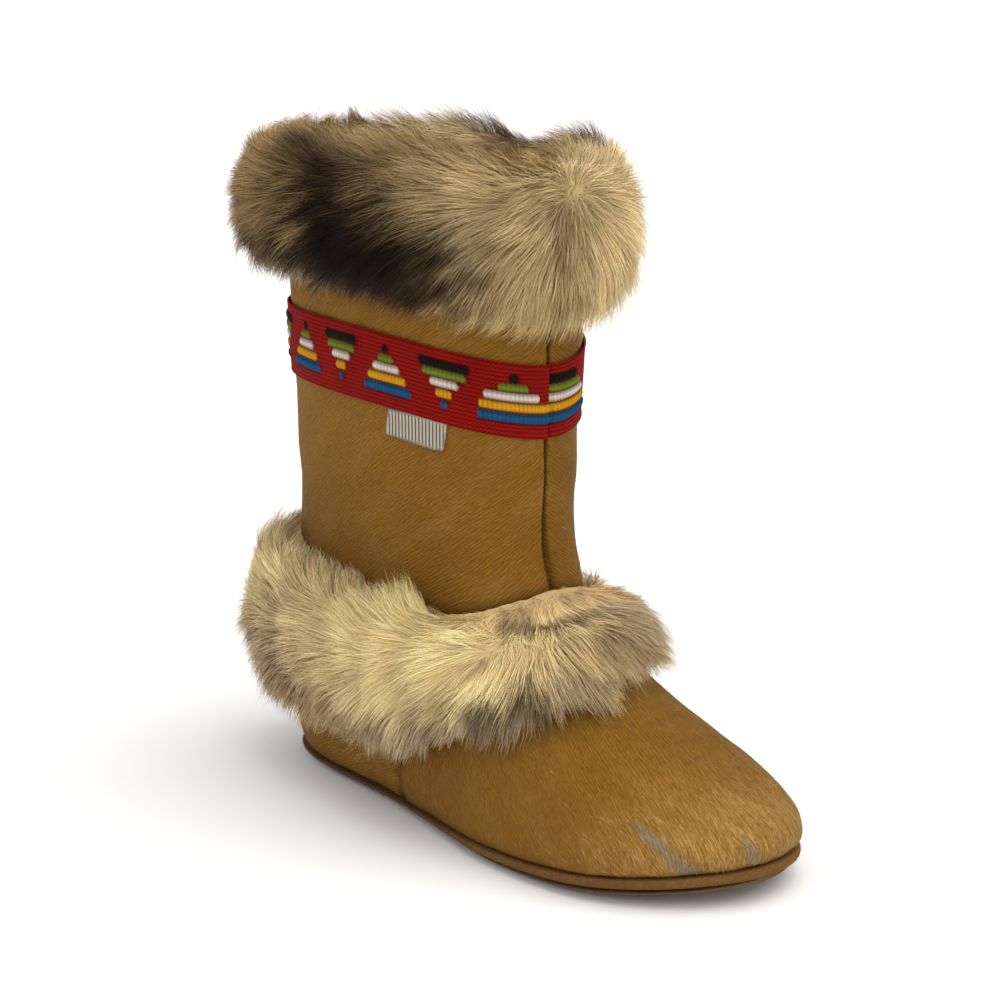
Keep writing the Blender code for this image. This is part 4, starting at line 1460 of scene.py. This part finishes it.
rand = rounded("midsole", "rand")
finish(rand, leather_material(), "leather", "midsole")
rand_nap(rand, hair_material("nap_hair", 0.9))
finish(rounded("outsole", "crepe_sole"), crepe_material(), "crepe", "outsole")
insole_felt = felt_material("insole_felt", (0.30, 0.24, 0.17), (0.62, 0.53, 0.41))
finish(rounded("insole", "felt_insole"), insole_felt, "felt", "insole")

hides = outer_tree((foot, foot_spine), (shaft, leg_spine))
leg = outer_tree((shaft, leg_spine))
woven_tape(leg, tape_material())
label_tab(label_material())

# The hem: a line of dark thread just above the shaft's lower edge.
seam_thread = thread_material("seam_thread", (0.035, 0.014, 0.005), (0.120, 0.050, 0.018))
turns = np.arange(0.06, TURN - 0.06, 0.058)
spots, outs = on_leg(leg, turns, (low_edge(turns) + 2.2) * MM)
ways = unit(np.roll(spots, -1, 0) - np.roll(spots, 1, 0))
stitch_row("hem_stitches", spots + outs * 0.15 * MM, ways, outs, 3.0, 0.75, seam_thread)

# The front and back seams, drawn together with short stitches across the groove.
seams = []
for side, start in ((0.0, 96.0), (math.pi, 98.0)):
    heights = np.concatenate([np.arange(start, 150.0, 3.1), np.arange(186.0, 205.0, 3.1)])
    for aside in (-0.022, 0.022):
        seams.append(on_leg(leg, np.full(len(heights), side + aside), heights * MM))
spots, outs = (np.concatenate(found) for found in zip(*seams))
ways = np.tile([0.0, 0.0, 1.0], (len(spots), 1))
stitch_row("seam_stitches", spots, ways, unit(outs * [1, 1, 0.1]), 2.2, 0.55, seam_thread)

cuff = Fur("fur_cuff", "cuff_fur", CUFF_COMB, CUFF_WHORL, CUFF_PATCHES)
cuff_skin = pelt(cuff, "cuff_pelt", 3.0, hides, fur_surface)
coats = [("cuff_down", 46000, 3, 0.80, 0.17, 0.20), ("cuff_hair", 39500, 4, 1.05, 0.18, 0.22)]
grow_fur(cuff, cuff_skin, hides, coats, 41, fur_surface)

ankle = Fur("ankle_fur", "trim_fur", ANKLE_COMB, ANKLE_WHORL, ANKLE_PATCHES)
ankle_skin = pelt(ankle, "ankle_pelt", 3.0, hides, fur_surface)
coats = [("ankle_down", 44000, 3, 0.80, 0.17, 0.20), ("ankle_hair", 39500, 4, 1.05, 0.18, 0.32)]
grow_fur(ankle, ankle_skin, hides, coats, 57, fur_surface)

grow_coat("foot_coat", foot, foot_spine, 60000, 71, coat_surface, "hide")
grow_coat("shaft_coat", shaft, leg_spine, 45000, 83, coat_surface, "shaft_hide")


# ---------------------------------------------------------------- stage


def level(degrees):
    """The level directions towards the viewer from so far round the boot, and to the viewer's right."""
    turn = math.radians(degrees)
    return Vector((math.sin(turn), -math.cos(turn), 0)), Vector((math.cos(turn), math.sin(turn), 0))


def look(holder, way):
    holder.rotation_euler = way.to_track_quat("-Z", "Y").to_euler()


bpy.ops.object.select_all(action="DESELECT")
bpy.ops.mesh.primitive_plane_add(size=60, location=(0, 0, -0.0002))
floor = bpy.context.object
floor.name = "floor"
floor.data.materials.append(floor_material())

world = bpy.data.worlds.new("studio")
world.use_nodes = True
light = world.node_tree.nodes["Background"].inputs
light["Color"].default_value = (1.0, 0.995, 0.985, 1)
light["Strength"].default_value = 0.92
bpy.context.scene.world = world

nearer, right = level(49.8)
for name, (aside, near, high), strength in (
    # how far to the right, towards the camera and up, and how strong
    ("key_light", (0.55, 0.20, 1.30), 1.35),
    ("front_light", (-0.10, 1.0, 0.55), 0.40),
):
    lamp = bpy.data.lights.new(name, "SUN")
    lamp.energy = strength
    lamp.angle = math.radians(60.0)
    lamp.color = (1.0, 0.985, 0.96)
    holder = placed(name, lamp)
    holder.location = right * aside + nearer * near + Vector((0, 0, high))
    look(holder, -holder.location)

camera = bpy.data.cameras.new("camera")
camera.lens = 107.0
camera.sensor_width = 36.0
camera.clip_end = 100
holder = placed("camera", camera)
elevation = math.radians(13.3)
back = nearer * math.cos(elevation) + Vector((0, 0, math.sin(elevation)))
holder.location = Vector((80.2, 41.2, 120.0)) * MM + 1.168 * back
look(holder, Vector((82.0, -1.0, 122.0)) * MM - holder.location)
bpy.context.scene.camera = holder
bpy.context.scene.view_settings.view_transform = "Standard"
bpy.context.scene.view_settings.look = "None"

bpy.context.view_layer.update()
